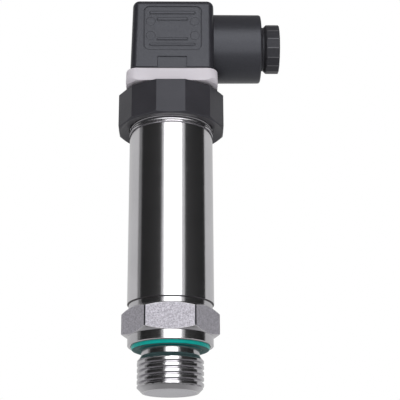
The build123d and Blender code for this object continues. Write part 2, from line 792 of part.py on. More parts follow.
# Connector housing, one moulding: tapered block, gland barrel, wiring chamber, stepped gland
# bore, sunk seat for the centre screw and the moulded face
front_y = -plug_depth / 2
left_foot = plug_shift - plug_width / 2
right_foot = plug_shift + plug_width / 2
left_top = plug_shift - plug_top_width / 2
right_top = plug_shift + plug_top_width / 2
face_plane = Plane((0, front_y, 0), x_dir=(1, 0, 0), z_dir=(0, -1, 0))
panel_z = plug_z + panel_middle
with BuildPart() as plug_housing:
    with BuildSketch(Plane.XZ):
        with BuildLine():
            Polyline((left_foot, plug_z), (right_foot, plug_z), (right_top, plug_top_z),
                     (left_top, plug_top_z), close=True)
        make_face()
    extrude(amount=plug_depth / 2, both=True)
    block_edges = edges().group_by(Axis.Z)
    fillet(block_edges[-1] + block_edges[-2], radius=plug_edge_radius)
    with BuildSketch(Plane.YZ.offset(cavity_width / 2)):
        with Locations((0, gland_z)):
            Circle(barrel_diameter / 2)
    extrude(amount=barrel_end - cavity_width / 2, taper=barrel_draft)
    fillet(faces().sort_by(Axis.X)[-1].edges(), radius=barrel_edge)
    with BuildSketch(Plane.XY.offset(plug_z)):
        RectangleRounded(cavity_width, cavity_width, cavity_corner)
        Circle(guide_diameter / 2, mode=Mode.SUBTRACT)
    extrude(amount=cavity_top_z - plug_z, mode=Mode.SUBTRACT)
    with BuildSketch(Plane.XY.offset(plug_z)):
        Circle(guide_diameter / 2)
    extrude(amount=block_top_z - plug_z, mode=Mode.SUBTRACT)
    with BuildSketch(Plane.XY.offset(block_top_z)):
        Circle(screw_channel_diameter / 2)
    extrude(amount=plug_top_z - block_top_z, mode=Mode.SUBTRACT)
    with BuildSketch(Plane.XY.offset(recess_z)):
        Circle(screw_recess_diameter / 2)
    extrude(amount=screw_recess_depth, mode=Mode.SUBTRACT)
    with BuildSketch(Plane.YZ.offset(gland_bore_floor)):
        with Locations((0, gland_z)):
            Circle(gland_thread_diameter / 2 + running_gap)
    extrude(amount=barrel_end - gland_bore_floor, mode=Mode.SUBTRACT)
    with BuildSketch(Plane.YZ.offset(cavity_width / 2 - cavity_corner)):
        with Locations((0, gland_z)):
            Circle(passage_diameter / 2)
    extrude(amount=gland_bore_floor - cavity_width / 2 + cavity_corner, mode=Mode.SUBTRACT)
    with BuildSketch(face_plane):
        with Locations((panel_shift, panel_z)):
            RectangleRounded(panel_width, panel_height, panel_corner)
    extrude(amount=-panel_depth, mode=Mode.SUBTRACT)
    with BuildSketch(face_plane.offset(-panel_depth)):
        for offset in long_bar_offsets:
            with Locations((panel_shift, panel_z + offset)):
                Rectangle(long_bar_width, bar_height)
        for offset in short_bar_offsets:
            with Locations((panel_shift, panel_z + offset)):
                Rectangle(short_bar_width, bar_height)
    extrude(amount=bar_rise)
    with BuildSketch(face_plane.offset(-panel_depth)):
        with Locations((panel_shift, panel_z)):
            with GridLocations(mark_spacing_x, mark_spacing_z, 2, 2):
                Circle(mark_diameter / 2)
    extrude(amount=mark_rise)
    with BuildSketch(face_plane):
        with Locations((plug_shift, plug_z + notch_height / 2)):
            Rectangle(notch_width, notch_height)
    extrude(amount=-notch_depth, mode=Mode.SUBTRACT)
plug_housing.part.label = "plug_housing"
export_step(plug_housing.part, "parts/plug_housing.step")

# Centre screw with its slotted head, and the seal ring under the head
screw_seal_z = recess_z + seat_gap
screw_head_z = screw_seal_z + screw_seal_thickness + seat_gap
with BuildPart() as fixing_screw:
    with BuildSketch(Plane.XY.offset(screw_head_z - screw_length)):
        Circle(screw_diameter / 2)
    extrude(amount=screw_length)
    with BuildSketch(Plane.XY.offset(screw_head_z)):
        Circle(screw_head_diameter / 2)
    extrude(amount=screw_head_height)
    with BuildSketch(Plane.XY.offset(screw_head_z + screw_head_height)):
        Rectangle(screw_head_diameter, screw_slot_width)
    extrude(amount=-screw_slot_depth, mode=Mode.SUBTRACT)
fixing_screw.part.label = "fixing_screw"
export_step(fixing_screw.part, "parts/fixing_screw.step")

with BuildPart() as screw_seal:
    with BuildSketch(Plane.XY.offset(screw_seal_z)):
        Circle(screw_head_diameter / 2 + screw_seal_rim)
        Circle(screw_diameter / 2 + running_gap, mode=Mode.SUBTRACT)
    extrude(amount=screw_seal_thickness)
screw_seal.part.label = "screw_seal"
export_step(screw_seal.part, "parts/screw_seal.step")

# Gland: rubber seal, pressure washer and the many-sided pressure screw, on the barrel axis
with BuildPart() as cable_seal:
    with BuildSketch(Plane.YZ.offset(gland_bore_floor)):
        with Locations((0, gland_z)):
            Circle(gland_thread_diameter / 2)
            Circle(cable_seal_bore / 2, mode=Mode.SUBTRACT)
    extrude(amount=cable_seal_length)
cable_seal.part.label = "cable_seal"
export_step(cable_seal.part, "parts/cable_seal.step")

gland_washer_x = gland_bore_floor + cable_seal_length + seat_gap
with BuildPart() as gland_washer:
    with BuildSketch(Plane.YZ.offset(gland_washer_x)):
        with Locations((0, gland_z)):
            Circle(gland_thread_diameter / 2 - gland_washer_gap)
            Circle(gland_washer_bore / 2, mode=Mode.SUBTRACT)
    extrude(amount=gland_washer_thickness)
gland_washer.part.label = "gland_washer"
export_step(gland_washer.part, "parts/gland_washer.step")

shank_x = gland_washer_x + gland_washer_thickness + seat_gap
head_x = barrel_end + gland_gap
head_end_x = head_x + gland_head_length
gland_axis = Axis((0, 0, gland_z), (1, 0, 0))
with BuildPart() as gland_screw:
    with BuildSketch(Plane.YZ.offset(head_x)):
        with Locations((0, gland_z)):
            RegularPolygon(gland_head_diameter / 2, gland_head_sides)
    extrude(amount=gland_head_length)
    with BuildSketch(Plane.XZ):
        with BuildLine():
            Polyline(
                (head_x, gland_z),
                (head_x, gland_z + gland_head_diameter / 2 - gland_head_chamfer),
                (head_x + gland_head_chamfer, gland_z + gland_head_diameter / 2 + cut_margin),
                (head_end_x, gland_z + gland_head_diameter / 2 + cut_margin),
                (head_end_x, gland_z),
                close=True,
            )
        make_face()
    revolve(axis=gland_axis, mode=Mode.INTERSECT)
    with BuildSketch(Plane.YZ.offset(shank_x)):
        with Locations((0, gland_z)):
            Circle(gland_thread_diameter / 2)
    extrude(amount=head_x - gland_neck_length - shank_x)
    with BuildSketch(Plane.YZ.offset(head_x - gland_neck_length)):
        with Locations((0, gland_z)):
            Circle(gland_thread_diameter / 2 - gland_neck_depth)
    extrude(amount=gland_neck_length)
    with BuildSketch(Plane.YZ.offset(shank_x)):
        with Locations((0, gland_z)):
            Circle(gland_screw_bore / 2)
    extrude(amount=head_end_x - shank_x, mode=Mode.SUBTRACT)
    mouth = faces().sort_by(Axis.X)[-1].edges().filter_by(GeomType.CIRCLE)
    chamfer(mouth, length=gland_mouth_chamfer)
gland_screw.part.label = "gland_screw"
export_step(gland_screw.part, "parts/gland_screw.step")
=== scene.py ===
# %% [markdown]
# A pressure sensor stands on the round membrane at its tip. From bottom to top it has a
# screw thread, a teal seal, a steel hexagon, a bright tube, a black union nut, an off-white
# connector base and a black right-angle connector with a cable gland.
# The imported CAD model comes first. Every piece made here takes the place of its solid.

# %% Load the frame and keep its size
import math
import bmesh
import bpy
from mathutils import Matrix, Vector


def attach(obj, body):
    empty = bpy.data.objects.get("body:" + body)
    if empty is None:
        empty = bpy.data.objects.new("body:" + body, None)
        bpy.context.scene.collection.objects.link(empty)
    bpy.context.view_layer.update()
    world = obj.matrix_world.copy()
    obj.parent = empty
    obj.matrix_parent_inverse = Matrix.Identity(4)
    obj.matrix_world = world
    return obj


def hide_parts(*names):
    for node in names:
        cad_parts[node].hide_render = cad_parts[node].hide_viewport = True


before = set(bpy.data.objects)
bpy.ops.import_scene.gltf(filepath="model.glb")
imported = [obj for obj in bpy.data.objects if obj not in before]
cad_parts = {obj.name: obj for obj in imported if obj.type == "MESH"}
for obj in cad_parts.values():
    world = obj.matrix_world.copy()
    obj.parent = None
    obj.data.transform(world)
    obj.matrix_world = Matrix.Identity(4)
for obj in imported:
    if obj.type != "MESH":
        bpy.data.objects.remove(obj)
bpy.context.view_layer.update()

MM = 0.001

# %% [markdown]
# The camera stands below the middle of the object and looks up at it by 19 degrees, as the
# outline of the tube and the hexagon shows. A long lens keeps the sides nearly parallel.

# %% Camera
CAMERA_PLACE = Vector((3.627, -331.945, -52.216)) * MM
CAMERA_YAW = math.radians(1.009)
CAMERA_PITCH = math.radians(19.12)
CAMERA_ROLL = math.radians(-0.35)
CAMERA_LENS = 96.83

forward = Vector((math.sin(CAMERA_YAW) * math.cos(CAMERA_PITCH),
                  math.cos(CAMERA_YAW) * math.cos(CAMERA_PITCH), math.sin(CAMERA_PITCH)))
level = Vector((math.cos(CAMERA_YAW), -math.sin(CAMERA_YAW), 0))
upward = level.cross(forward)
right = math.cos(CAMERA_ROLL) * level + math.sin(CAMERA_ROLL) * upward
top = math.cos(CAMERA_ROLL) * upward - math.sin(CAMERA_ROLL) * level
camera = bpy.data.objects.new("camera", bpy.data.cameras.new("camera"))
camera.data.lens = CAMERA_LENS
camera.data.clip_start = 0.01
axes = Matrix((right, top, -forward)).transposed()
camera.matrix_world = Matrix.Translation(CAMERA_PLACE) @ axes.to_4x4()
bpy.context.scene.collection.objects.link(camera)
bpy.context.scene.camera = camera
bpy.context.scene.view_settings.view_transform = "Standard"
print("camera looks up by", round(math.degrees(CAMERA_PITCH), 1), "degrees")

# %% [markdown]
# The studio and the finishes are made of shader nodes. A few short helpers add a node and feed
# it, so that each line below says what is worked out and not how nodes are joined.


# %% Helpers for nodes
def feed(tree, value, socket):
    """Sets a socket to a value or links it to another socket."""
    if isinstance(value, bpy.types.NodeSocket):
        tree.links.new(value, socket)
    else:
        socket.default_value = value


def arithmetic(tree, operation, first, second=0.0):
    """The result of one Math node."""
    node = tree.nodes.new("ShaderNodeMath")
    node.operation = operation
    feed(tree, first, node.inputs[0])
    feed(tree, second, node.inputs[1])
    return node.outputs[0]


def ranged(tree, value, reads, gives=(0.0, 1.0)):
    """Turns a value between the two reads into one between the two gives, and stops there."""
    node = tree.nodes.new("ShaderNodeMapRange")
    tree.links.new(value, node.inputs["Value"])
    for label, number in zip(("From Min", "From Max", "To Min", "To Max"), (*reads, *gives)):
        node.inputs[label].default_value = number
    return node.outputs["Result"]


def mixed(tree, factor, first, second, kind="FLOAT"):
    """A number, or with the kind RGBA a colour, between the first and the second."""
    node = tree.nodes.new("ShaderNodeMix")
    node.data_type = kind
    for label, value in (("Factor", factor), ("A", first), ("B", second)):
        feed(tree, value, node.inputs[label])
    return node.outputs["Result"]


def mirrored_rays(tree):
    """1 for what is seen in a mirror or through glass."""
    path = tree.nodes.new("ShaderNodeLightPath")
    return arithmetic(tree, "MAXIMUM", path.outputs["Is Glossy Ray"], path.outputs["Is Transmission Ray"])


# %% [markdown]
# Bright steel is only as good as what it mirrors. The studio is a white room with one soft
# lamp in front, and two more that light the object from above and behind but aren't mirrored.
# A dark card on each side gives the tube its two dark bands. Low down the cards reach further
# in, for the narrower stripe on the thread. A grey card softens the outer end of the left
# band, and the black barrel mirrors a bright sheet on the floor. Cards, sheet and lamps are
# hidden from the camera, as a photographer keeps them out of the picture.

# %% White room, whose ceiling is darker in a mirror
ROOM_WHITE = (1.0, 1.0, 1.0, 1.0)
ROOM_FILL = 0.42
ROOM_MIRRORED = 0.62
CEILING_MIRRORED = 0.2
CEILING_FADE = (0.55, 0.85)     # how far up a ray points, from level at 0 to upright at 1

world = bpy.data.worlds.new("white_room")
bpy.context.scene.world = world
world.use_nodes = True
sky = world.node_tree
sky.nodes.clear()
way = sky.nodes.new("ShaderNodeTexCoord")
height = sky.nodes.new("ShaderNodeSeparateXYZ")
sky.links.new(way.outputs["Generated"], height.inputs[0])
ceiling = ranged(sky, height.outputs["Z"], CEILING_FADE, (ROOM_MIRRORED, CEILING_MIRRORED))
strength = mixed(sky, mirrored_rays(sky), ROOM_FILL, ceiling)
path = sky.nodes.new("ShaderNodeLightPath")
glow = sky.nodes.new("ShaderNodeBackground")
glow.inputs["Color"].default_value = ROOM_WHITE
sky.links.new(mixed(sky, path.outputs["Is Camera Ray"], strength, 1.0), glow.inputs["Strength"])
room = sky.nodes.new("ShaderNodeOutputWorld")
sky.links.new(glow.outputs[0], room.inputs["Surface"])
print("room fills with", ROOM_FILL, "and is mirrored with", ROOM_MIRRORED)


# %% Lamps
def soft_lamp(name, place, target, width, height, brightness, mirrored=True):
    """A rectangular lamp whose face has the given brightness, turned to a point."""
    lamp = bpy.data.objects.new(name, bpy.data.lights.new(name, "AREA"))
    lamp.data.shape = "RECTANGLE"
    lamp.data.size = width
    lamp.data.size_y = height
    lamp.data.energy = brightness * math.pi * width * height
    lamp.location = place
    lamp.rotation_euler = (Vector(target) - Vector(place)).to_track_quat("-Z", "Y").to_euler()
    lamp.visible_camera = False
    lamp.visible_glossy = mirrored
    bpy.context.scene.collection.objects.link(lamp)


MIDDLE = (0, 0, 0.065)
soft_lamp("front_lamp", (0.16, -1.3, 0.59), (0.16, 0, 0.45), 1.12, 1.12, 2.1)
soft_lamp("top_lamp", (0.2, -0.3, 1.5), MIDDLE, 1.2, 1.2, 0.9, False)
soft_lamp("rear_lamp", (-0.5, 1.4, 0.9), MIDDLE, 1.2, 1.0, 0.8, False)
print("lamps:", [lamp.name for lamp in bpy.data.lights])


# %% Dark cards
def stage_sheet(name, corners):
    """A flat sheet of the studio, not part of the object, with an empty finish."""
    mesh = bpy.data.meshes.new(name)
    mesh.from_pydata([tuple(c) for c in corners], [], [(0, 1, 2, 3)])
    sheet = bpy.data.objects.new(name, mesh)
    bpy.context.scene.collection.objects.link(sheet)
    material = bpy.data.materials.new(name)
    material.use_nodes = True
    mesh.materials.append(material)
    return sheet, material.node_tree


def only_mirrored(sheet):
    """Leaves a sheet to the mirrored rays alone."""
    sheet.visible_camera = False
    sheet.visible_shadow = False
    sheet.visible_diffuse = False


def at_bearing(degrees, height):
    """A corner of a card, with its bearing counted from the front towards +X."""
    turn = math.radians(degrees)
    return (CARD_DISTANCE * math.sin(turn), -CARD_DISTANCE * math.cos(turn), height)


CARD_DISTANCE = 0.9
CARD_FOOT = 0.02
CARD_TOP = 0.95
LOW_CARD_TOP = 0.168     # only the stud end mirrors what is below this height
CARD_DARK = 0.02
CARD_GREY = 0.3
CARD_ROUGHNESS = 0.9
for card_name, near, far, card_top, shade in (
        ("left", -24, -86, CARD_TOP, CARD_DARK), ("left_low", -15, -24, LOW_CARD_TOP, CARD_DARK),
        ("far_left", -86, -97, CARD_TOP, CARD_GREY),
        ("right", 38, 104, CARD_TOP, CARD_DARK), ("right_low", 32, 38, LOW_CARD_TOP, CARD_DARK)):
    card, tree = stage_sheet("card_" + card_name, [
        at_bearing(near, CARD_FOOT), at_bearing(far, CARD_FOOT),
        at_bearing(far, card_top), at_bearing(near, card_top)])
    shader = tree.nodes["Principled BSDF"]
    shader.inputs["Base Color"].default_value = (shade, shade, shade, 1)
    shader.inputs["Roughness"].default_value = CARD_ROUGHNESS
    only_mirrored(card)
print("five cards stand", CARD_DISTANCE, "m from the object")

# %% [markdown]
# The floor is white paper that is clear from below, so that a low view still shows the
# object. In a mirrored ray it glows evenly, apart from a painted shadow round the tip.

# %% Floor
FLOOR_REACH = 4.0
FLOOR_DROP = 0.0002             # below the tip, so that the two faces don't flicker
FLOOR_WHITE = (0.9, 0.9, 0.9, 1)
FLOOR_GLOW = 0.6
# A painted shadow round the tip: near it, the floor's glow in a mirrored ray drops to this.
PAINTED_TIP_SHADOW_GLOW = 0.06
PAINTED_TIP_SHADOW_FADE = (0.012, 0.02)      # distances from the axis between which the shade ends
TIP_EDGE = (0.0102, 0.0112)     # and within which it is only half as deep
PAINTED_TIP_SHADOW_FACING = (0.1, 0.6)       # it is there for rays that come down, not for slanting ones

floor_corners = [(x * FLOOR_REACH, y * FLOOR_REACH, -FLOOR_DROP)
                 for x, y in ((-1, -1), (1, -1), (1, 1), (-1, 1))]
tree = stage_sheet("floor", floor_corners)[1]
tree.nodes.clear()
matt = tree.nodes.new("ShaderNodeBsdfDiffuse")
matt.inputs["Color"].default_value = FLOOR_WHITE
spot = tree.nodes.new("ShaderNodeTexCoord")
distance = tree.nodes.new("ShaderNodeVectorMath")
distance.operation = "LENGTH"
tree.links.new(spot.outputs["Object"], distance.inputs[0])
from_axis = distance.outputs["Value"]
facing = tree.nodes.new("ShaderNodeLayerWeight")
# The painted shadow is deepest for steep rays near the tip and half as deep right at its edge.
steep = ranged(tree, facing.outputs["Facing"], PAINTED_TIP_SHADOW_FACING, (1.0, 0.0))
near_tip = arithmetic(tree, "MULTIPLY", steep, ranged(tree, from_axis, PAINTED_TIP_SHADOW_FADE, (1.0, 0.0)))
shaded = arithmetic(tree, "MULTIPLY", near_tip, ranged(tree, from_axis, TIP_EDGE, (0.5, 1.0)))
mirror_glow = tree.nodes.new("ShaderNodeEmission")
tree.links.new(mixed(tree, shaded, FLOOR_GLOW, PAINTED_TIP_SHADOW_GLOW), mirror_glow.inputs["Strength"])
clear = tree.nodes.new("ShaderNodeBsdfTransparent")
side = tree.nodes.new("ShaderNodeNewGeometry")
lit = tree.nodes.new("ShaderNodeMixShader")
one_way = tree.nodes.new("ShaderNodeMixShader")
for mix, inputs in ((lit, (mirrored_rays(tree), matt.outputs[0], mirror_glow.outputs[0])),
                    (one_way, (side.outputs["Backfacing"], lit.outputs[0], clear.outputs[0]))):
    for socket, source in zip(mix.inputs, inputs):
        tree.links.new(source, socket)
surface = tree.nodes.new("ShaderNodeOutputMaterial")
tree.links.new(one_way.outputs[0], surface.inputs["Surface"])
print("the floor reaches", FLOOR_REACH, "m to each side")

# %% Bright sheet on the floor in front, which the undersides of the black barrel mirror
SHEET_BRIGHTNESS = 2.1
SHEET_X = (-0.4, 0.72)
SHEET_Y = (-1.25, -0.16)
SHEET_LIFT = 0.002

sheet, tree = stage_sheet("bright_sheet", [
    (SHEET_X[i], SHEET_Y[j], SHEET_LIFT) for i, j in ((0, 0), (1, 0), (1, 1), (0, 1))])
tree.nodes.clear()
sheet_glow = tree.nodes.new("ShaderNodeEmission")
sheet_glow.inputs["Strength"].default_value = SHEET_BRIGHTNESS
surface = tree.nodes.new("ShaderNodeOutputMaterial")
tree.links.new(sheet_glow.outputs[0], surface.inputs["Surface"])
only_mirrored(sheet)
print("a bright sheet lies in front of the object")

# %% [markdown]
# Three surface effects turn up in many finishes, so each is a node group that is built once:
# a fine grain for moulded plastic and rubber, the rings that a lathe leaves on steel, and a
# slow mottle that keeps a colour from looking flat. A group gives only colours, masks and
# heights. The shader itself stays in each material.


# %% Helpers for node groups
def effect_group(name, inputs, outputs):
    """An empty node group with named sockets, and its two ends."""
    group = bpy.data.node_groups.new(name, "ShaderNodeTree")
    for label, value in inputs:
        kind = "NodeSocketColor" if isinstance(value, tuple) else "NodeSocketFloat"
        socket = group.interface.new_socket(label, in_out="INPUT", socket_type=kind)
        socket.default_value = value
    for label, kind in outputs:
        group.interface.new_socket(label, in_out="OUTPUT", socket_type="NodeSocket" + kind)
    return group, group.nodes.new("NodeGroupInput"), group.nodes.new("NodeGroupOutput")


def noise(group, scale, detail, vector=None):
    """Noise on the piece's own coordinates, which are metres in the shared frame."""
    texture = group.nodes.new("ShaderNodeTexNoise")
    texture.inputs["Detail"].default_value = detail
    if vector is None:
        vector = group.nodes.new("ShaderNodeTexCoord").outputs["Object"]
    group.links.new(scale, texture.inputs["Scale"])
    group.links.new(vector, texture.inputs["Vector"])
    return texture.outputs["Fac"]


# %% Grain: the fine sparkle of an eroded mould or of blasted metal
COARSE_SCALE = 0.3
COARSE_SHARE = 0.5
grain, grain_in, grain_out = effect_group(
    "grain", [("Grains per metre", 4000.0)], [("Height", "Float"), ("Mask", "Float")])
fine_scale = grain_in.outputs["Grains per metre"]
fine = noise(grain, fine_scale, 3.0)
coarse = noise(grain, arithmetic(grain, "MULTIPLY", fine_scale, COARSE_SCALE), 2.0)
both = arithmetic(grain, "ADD", fine, arithmetic(grain, "MULTIPLY", coarse, COARSE_SHARE))
grain.links.new(both, grain_out.inputs["Height"])
grain.links.new(ranged(grain, fine, (0.35, 0.65)), grain_out.inputs["Mask"])

# %% Lathe rings: lines that run round the Z axis
rings, rings_in, rings_out = effect_group(
    "lathe_rings", [("Rings per metre", 9000.0)], [("Height", "Float"), ("Mask", "Float")])
place = rings.nodes.new("ShaderNodeTexCoord")
parts = rings.nodes.new("ShaderNodeSeparateXYZ")
rings.links.new(place.outputs["Object"], parts.inputs[0])
squares = [arithmetic(rings, "MULTIPLY", parts.outputs[c], parts.outputs[c]) for c in "XY"]
along = rings.nodes.new("ShaderNodeCombineXYZ")
rings.links.new(arithmetic(rings, "SQRT", arithmetic(rings, "ADD", *squares)), along.inputs["X"])
rings.links.new(parts.outputs["Z"], along.inputs["Y"])
ring_noise = noise(rings, rings_in.outputs["Rings per metre"], 2.0, along.outputs[0])
rings.links.new(ring_noise, rings_out.inputs["Height"])
rings.links.new(ranged(rings, ring_noise, (0.3, 0.7)), rings_out.inputs["Mask"])

# %% Mottle: a slow change between two close colours
mottle, mottle_in, mottle_out = effect_group(
    "mottle", [("Patches per metre", 120.0), ("Colour", (0.5, 0.5, 0.5, 1.0)),
               ("Other colour", (0.6, 0.6, 0.6, 1.0))], [("Color", "Color")])
cloud = ranged(mottle, noise(mottle, mottle_in.outputs["Patches per metre"], 4.0), (0.35, 0.65))
blend = mixed(mottle, cloud, mottle_in.outputs["Colour"], mottle_in.outputs["Other colour"], "RGBA")
mottle.links.new(blend, mottle_out.inputs["Color"])
print("groups:", [g.name for g in bpy.data.node_groups])

# %% [markdown]
# Every finish is then one call: its colour and roughness, how far both stray, and the relief
# that runs over it. The relief is a bump of a few hundredths of a millimetre at most, because
# shapes that can be seen are built as geometry.


# %% Finishes
SMOOTHEST = 0.02


def finish(name, colour, roughness, per_metre, depth, contrast, rough_spread, metallic=0.0,
           relief=grain, patches=120.0, **sockets):
    """A material for one of the object's own finishes.

    per_metre and depth, in millimetres, are those of the relief. contrast is the mottle's.
    """
    material = bpy.data.materials.new(name)
    material.use_nodes = True
    tree = material.node_tree
    shader = tree.nodes["Principled BSDF"]
    shader.inputs["Metallic"].default_value = metallic
    for label, value in sockets.items():
        shader.inputs[label.replace("_", " ")].default_value = value
    tint = tree.nodes.new("ShaderNodeGroup")
    tint.node_tree = mottle
    tint.inputs["Patches per metre"].default_value = patches
    tint.inputs["Colour"].default_value = tuple(c * (1 - contrast) for c in colour) + (1.0,)
    tint.inputs["Other colour"].default_value = tuple(min(1, c * (1 + contrast)) for c in colour) + (1.0,)
    tree.links.new(tint.outputs["Color"], shader.inputs["Base Color"])
    surface = tree.nodes.new("ShaderNodeGroup")
    surface.node_tree = relief
    surface.inputs[0].default_value = per_metre
    roughest = roughness + rough_spread
    smoothest = max(SMOOTHEST, roughness - rough_spread)
    rough = ranged(tree, surface.outputs["Mask"], (0.0, 1.0), (smoothest, roughest))
    tree.links.new(rough, shader.inputs["Roughness"])
    bump = tree.nodes.new("ShaderNodeBump")
    bump.inputs["Distance"].default_value = depth * MM
    tree.links.new(surface.outputs["Height"], bump.inputs["Height"])
    tree.links.new(bump.outputs["Normal"], shader.inputs["Normal"])
    return material


turned_steel = finish("turned_steel", (0.6, 0.59, 0.61), 0.15, 7000, 0.003, 0.04, 0.04, 1.0, rings)
milled_steel = finish("milled_steel", (0.43, 0.415, 0.46), 0.5, 3600, 0.03, 0.32, 0.12, 0.6, patches=2500.0)
# Painted reflection: the rounded corners of the hexagon get a dark steel, for the dark line that they show.
painted_dark_corner_steel = finish("painted_dark_corner_steel", (0.07, 0.07, 0.08), 0.3, 3600, 0.01, 0.05, 0.05, 1.0)
seam_steel = finish("seam_steel", (0.09, 0.085, 0.09), 0.4, 6000, 0.003, 0.05, 0.05, 1.0, rings)
tube_steel = finish("tube_steel", (0.68, 0.67, 0.69), 0.14, 6000, 0.0015, 0.03, 0.03, 1.0, rings)
face_steel = finish("face_steel", (0.62, 0.61, 0.655), 0.3, 5000, 0.002, 0.03, 0.05, 1.0, rings)
teal_rubber = finish("teal_rubber", (0.005, 0.45, 0.395), 0.3, 3000, 0.003, 0.08, 0.06,
                     Specular_IOR_Level=0.3, Specular_Tint=(0.3, 1.0, 0.9, 1.0))
# A darker copy of the teal is a painted shade for the underside of the bead.
teal_painted_shade = finish("teal_painted_shade", (0.003, 0.1, 0.1), 0.45, 3000, 0.003, 0.08, 0.06,
                     Specular_IOR_Level=0.2, Specular_Tint=(0.3, 1.0, 0.9, 1.0))
# Painted shade in the mirror: mirrored rays meet a darker teal, for the seal's shaded underside that the
# steel below mirrors.
TEAL_MIRROR_PAINTED_SHADE = (0.13, 0.22, 0.22, 1.0)
for material in (teal_rubber, teal_painted_shade):
    tree = material.node_tree
    tinted = tree.nodes["Principled BSDF"].inputs["Base Color"]
    colour = tinted.links[0].from_socket
    path = tree.nodes.new("ShaderNodeLightPath")
    shaded = mixed(tree, path.outputs["Is Glossy Ray"], colour, TEAL_MIRROR_PAINTED_SHADE, "RGBA")
    tree.links.new(shaded, tinted)
BLACK_SHEEN = (0.88, 0.91, 1.0, 1.0)
nut_plastic = finish("nut_plastic", (0.04, 0.0385, 0.045), 0.34, 2600, 0.006, 0.08, 0.06,
                     Specular_Tint=BLACK_SHEEN, Specular_IOR_Level=0.3)
plug_plastic = finish("plug_plastic", (0.024, 0.0235, 0.029), 0.36, 2600, 0.01, 0.1, 0.08,
                      patches=1800.0, Specular_Tint=BLACK_SHEEN, Specular_IOR_Level=0.55)
gland_plastic = finish("gland_plastic", (0.036, 0.035, 0.04), 0.38, 2600, 0.008, 0.1, 0.08,
                       patches=1800.0, Specular_Tint=BLACK_SHEEN, Specular_IOR_Level=0.2)
# Painted highlight: a paler plastic on the rounded corners of the gland head, for the light lines at its
# edges.
painted_highlight_plastic = finish("painted_highlight_plastic", (0.115, 0.113, 0.12), 0.4, 2600, 0.006, 0.08, 0.06,
                        Specular_Tint=BLACK_SHEEN, Specular_IOR_Level=0.4)
white_plastic = finish("white_plastic", (0.65, 0.615, 0.665), 0.45, 1800, 0.003, 0.02, 0.05)
seal_rubber = finish("seal_rubber", (0.02, 0.02, 0.022), 0.6, 2500, 0.006, 0.1, 0.08)
yellow_brass = finish("yellow_brass", (0.72, 0.55, 0.24), 0.28, 2500, 0.003, 0.06, 0.06, 1.0)
tinned_copper = finish("tinned_copper", (0.75, 0.75, 0.76), 0.22, 1800, 0.003, 0.05, 0.06, 1.0)
plated_steel = finish("plated_steel", (0.66, 0.66, 0.68), 0.25, 5000, 0.003, 0.05, 0.06, 1.0, rings)
moulded_black = finish("moulded_black", (0.03, 0.03, 0.033), 0.45, 2600, 0.005, 0.08, 0.06)
slip_white = finish("slip_white", (0.78, 0.78, 0.76), 0.4, 2000, 0.003, 0.03, 0.05)
board_mask = finish("board_mask", (0.02, 0.16, 0.07), 0.3, 1500, 0.004, 0.1, 0.05, Coat_Weight=0.3)
chip_resin = finish("chip_resin", (0.025, 0.025, 0.027), 0.5, 3000, 0.006, 0.08, 0.05)
can_metal = finish("can_metal", (0.72, 0.72, 0.74), 0.3, 2500, 0.003, 0.04, 0.05, 1.0)
wire_skin = finish("wire_skin", (0.5, 0.06, 0.05), 0.4, 2000, 0.003, 0.05, 0.05)
gold_skin = finish("gold_skin", (0.83, 0.62, 0.26), 0.22, 2500, 0.002, 0.05, 0.05, 1.0)
die_silicon = finish("die_silicon", (0.2, 0.2, 0.25), 0.12, 2500, 0.001, 0.05, 0.02, 1.0)
film_amber = finish("film_amber", (0.5, 0.22, 0.05), 0.3, 1500, 0.002, 0.05, 0.05)
print(len(bpy.data.materials), "materials")

# %% [markdown]
# The parts hidden inside keep their CAD shapes, because nobody sees more of them than a
# glimpse when the connector is pulled off. Each still gets the finish it has in real life.

# %% Finishes of the carried-over parts
CARRIED = (
    (turned_steel, ("cell_header", "cell_lock_ring")),
    (die_silicon, ("pressure_chip",)),
    (gold_skin, ("header_pins",)),
    (board_mask, ("cell_board", "circuit_board")),
    (film_amber, ("sensor_ribbon",)),
    (moulded_black, ("board_holder", "contact_block", "gland_washer")),
    (chip_resin, ("amplifier_chip",)),
    (can_metal, ("board_capacitors",)),
    (white_plastic, ("board_plug",)),
    (wire_skin, ("lead_wires",)),
    (slip_white, ("thrust_ring",)),
    (seal_rubber, ("base_o_ring", "base_gasket", "cable_seal", "screw_seal")),
    (yellow_brass, ("screw_insert", "terminal_1", "terminal_2", "terminal_3", "terminal_earth")),
    (tinned_copper, ("contact_blade_1", "contact_blade_2", "contact_blade_3", "earth_blade")),
    (plated_steel, ("terminal_screws",)),
)
for material, node_names in CARRIED:
    for node_name in node_names:
        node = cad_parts[node_name]
        if not node.material_slots:
            node.data.materials.append(material)
        for place in node.material_slots:
            place.material = material
print(sum(len(names) for _, names in CARRIED), "CAD parts carry a finish")

# %% [markdown]
# Nearly everything on this sensor is turned or has flats round an axis. So one way of
# building serves them all: a line of points gives the outline at one angle, the outline is
# worked out again at the next angle, and faces join the two. A flat only makes the radius
# depend on the angle, and a screw thread only slides the outline along the axis.
# Sharp corners catch no light, so each corner of an outline is rounded a little.

# %% Outlines with rounded corners
ARC_STEPS = 3


def outline(corners, closed=True):
    """(radius, height, rounding) corners as a line of (radius, height) points."""
    line = []
    for i, (r, z, rounding) in enumerate(corners):
        end = not closed and i in (0, len(corners) - 1)
        if not rounding or end:
            line.append((r, z))
            continue
        corner = Vector((r, z))
        ways = [Vector(corners[k][:2]) - corner for k in (i - 1, (i + 1) % len(corners))]
        reach = min([rounding] + [0.45 * way.length for way in ways])
        start, stop = (corner + way.normalized() * reach for way in ways)
        for step in range(ARC_STEPS + 1):
            t = step / ARC_STEPS
            line.append(tuple(start.lerp(corner, t).lerp(corner.lerp(stop, t), t)))
    return line


# %% Columns of points round an axis become a piece
WELD = 2e-6              # metres
SHARP_ANGLE = math.radians(35)


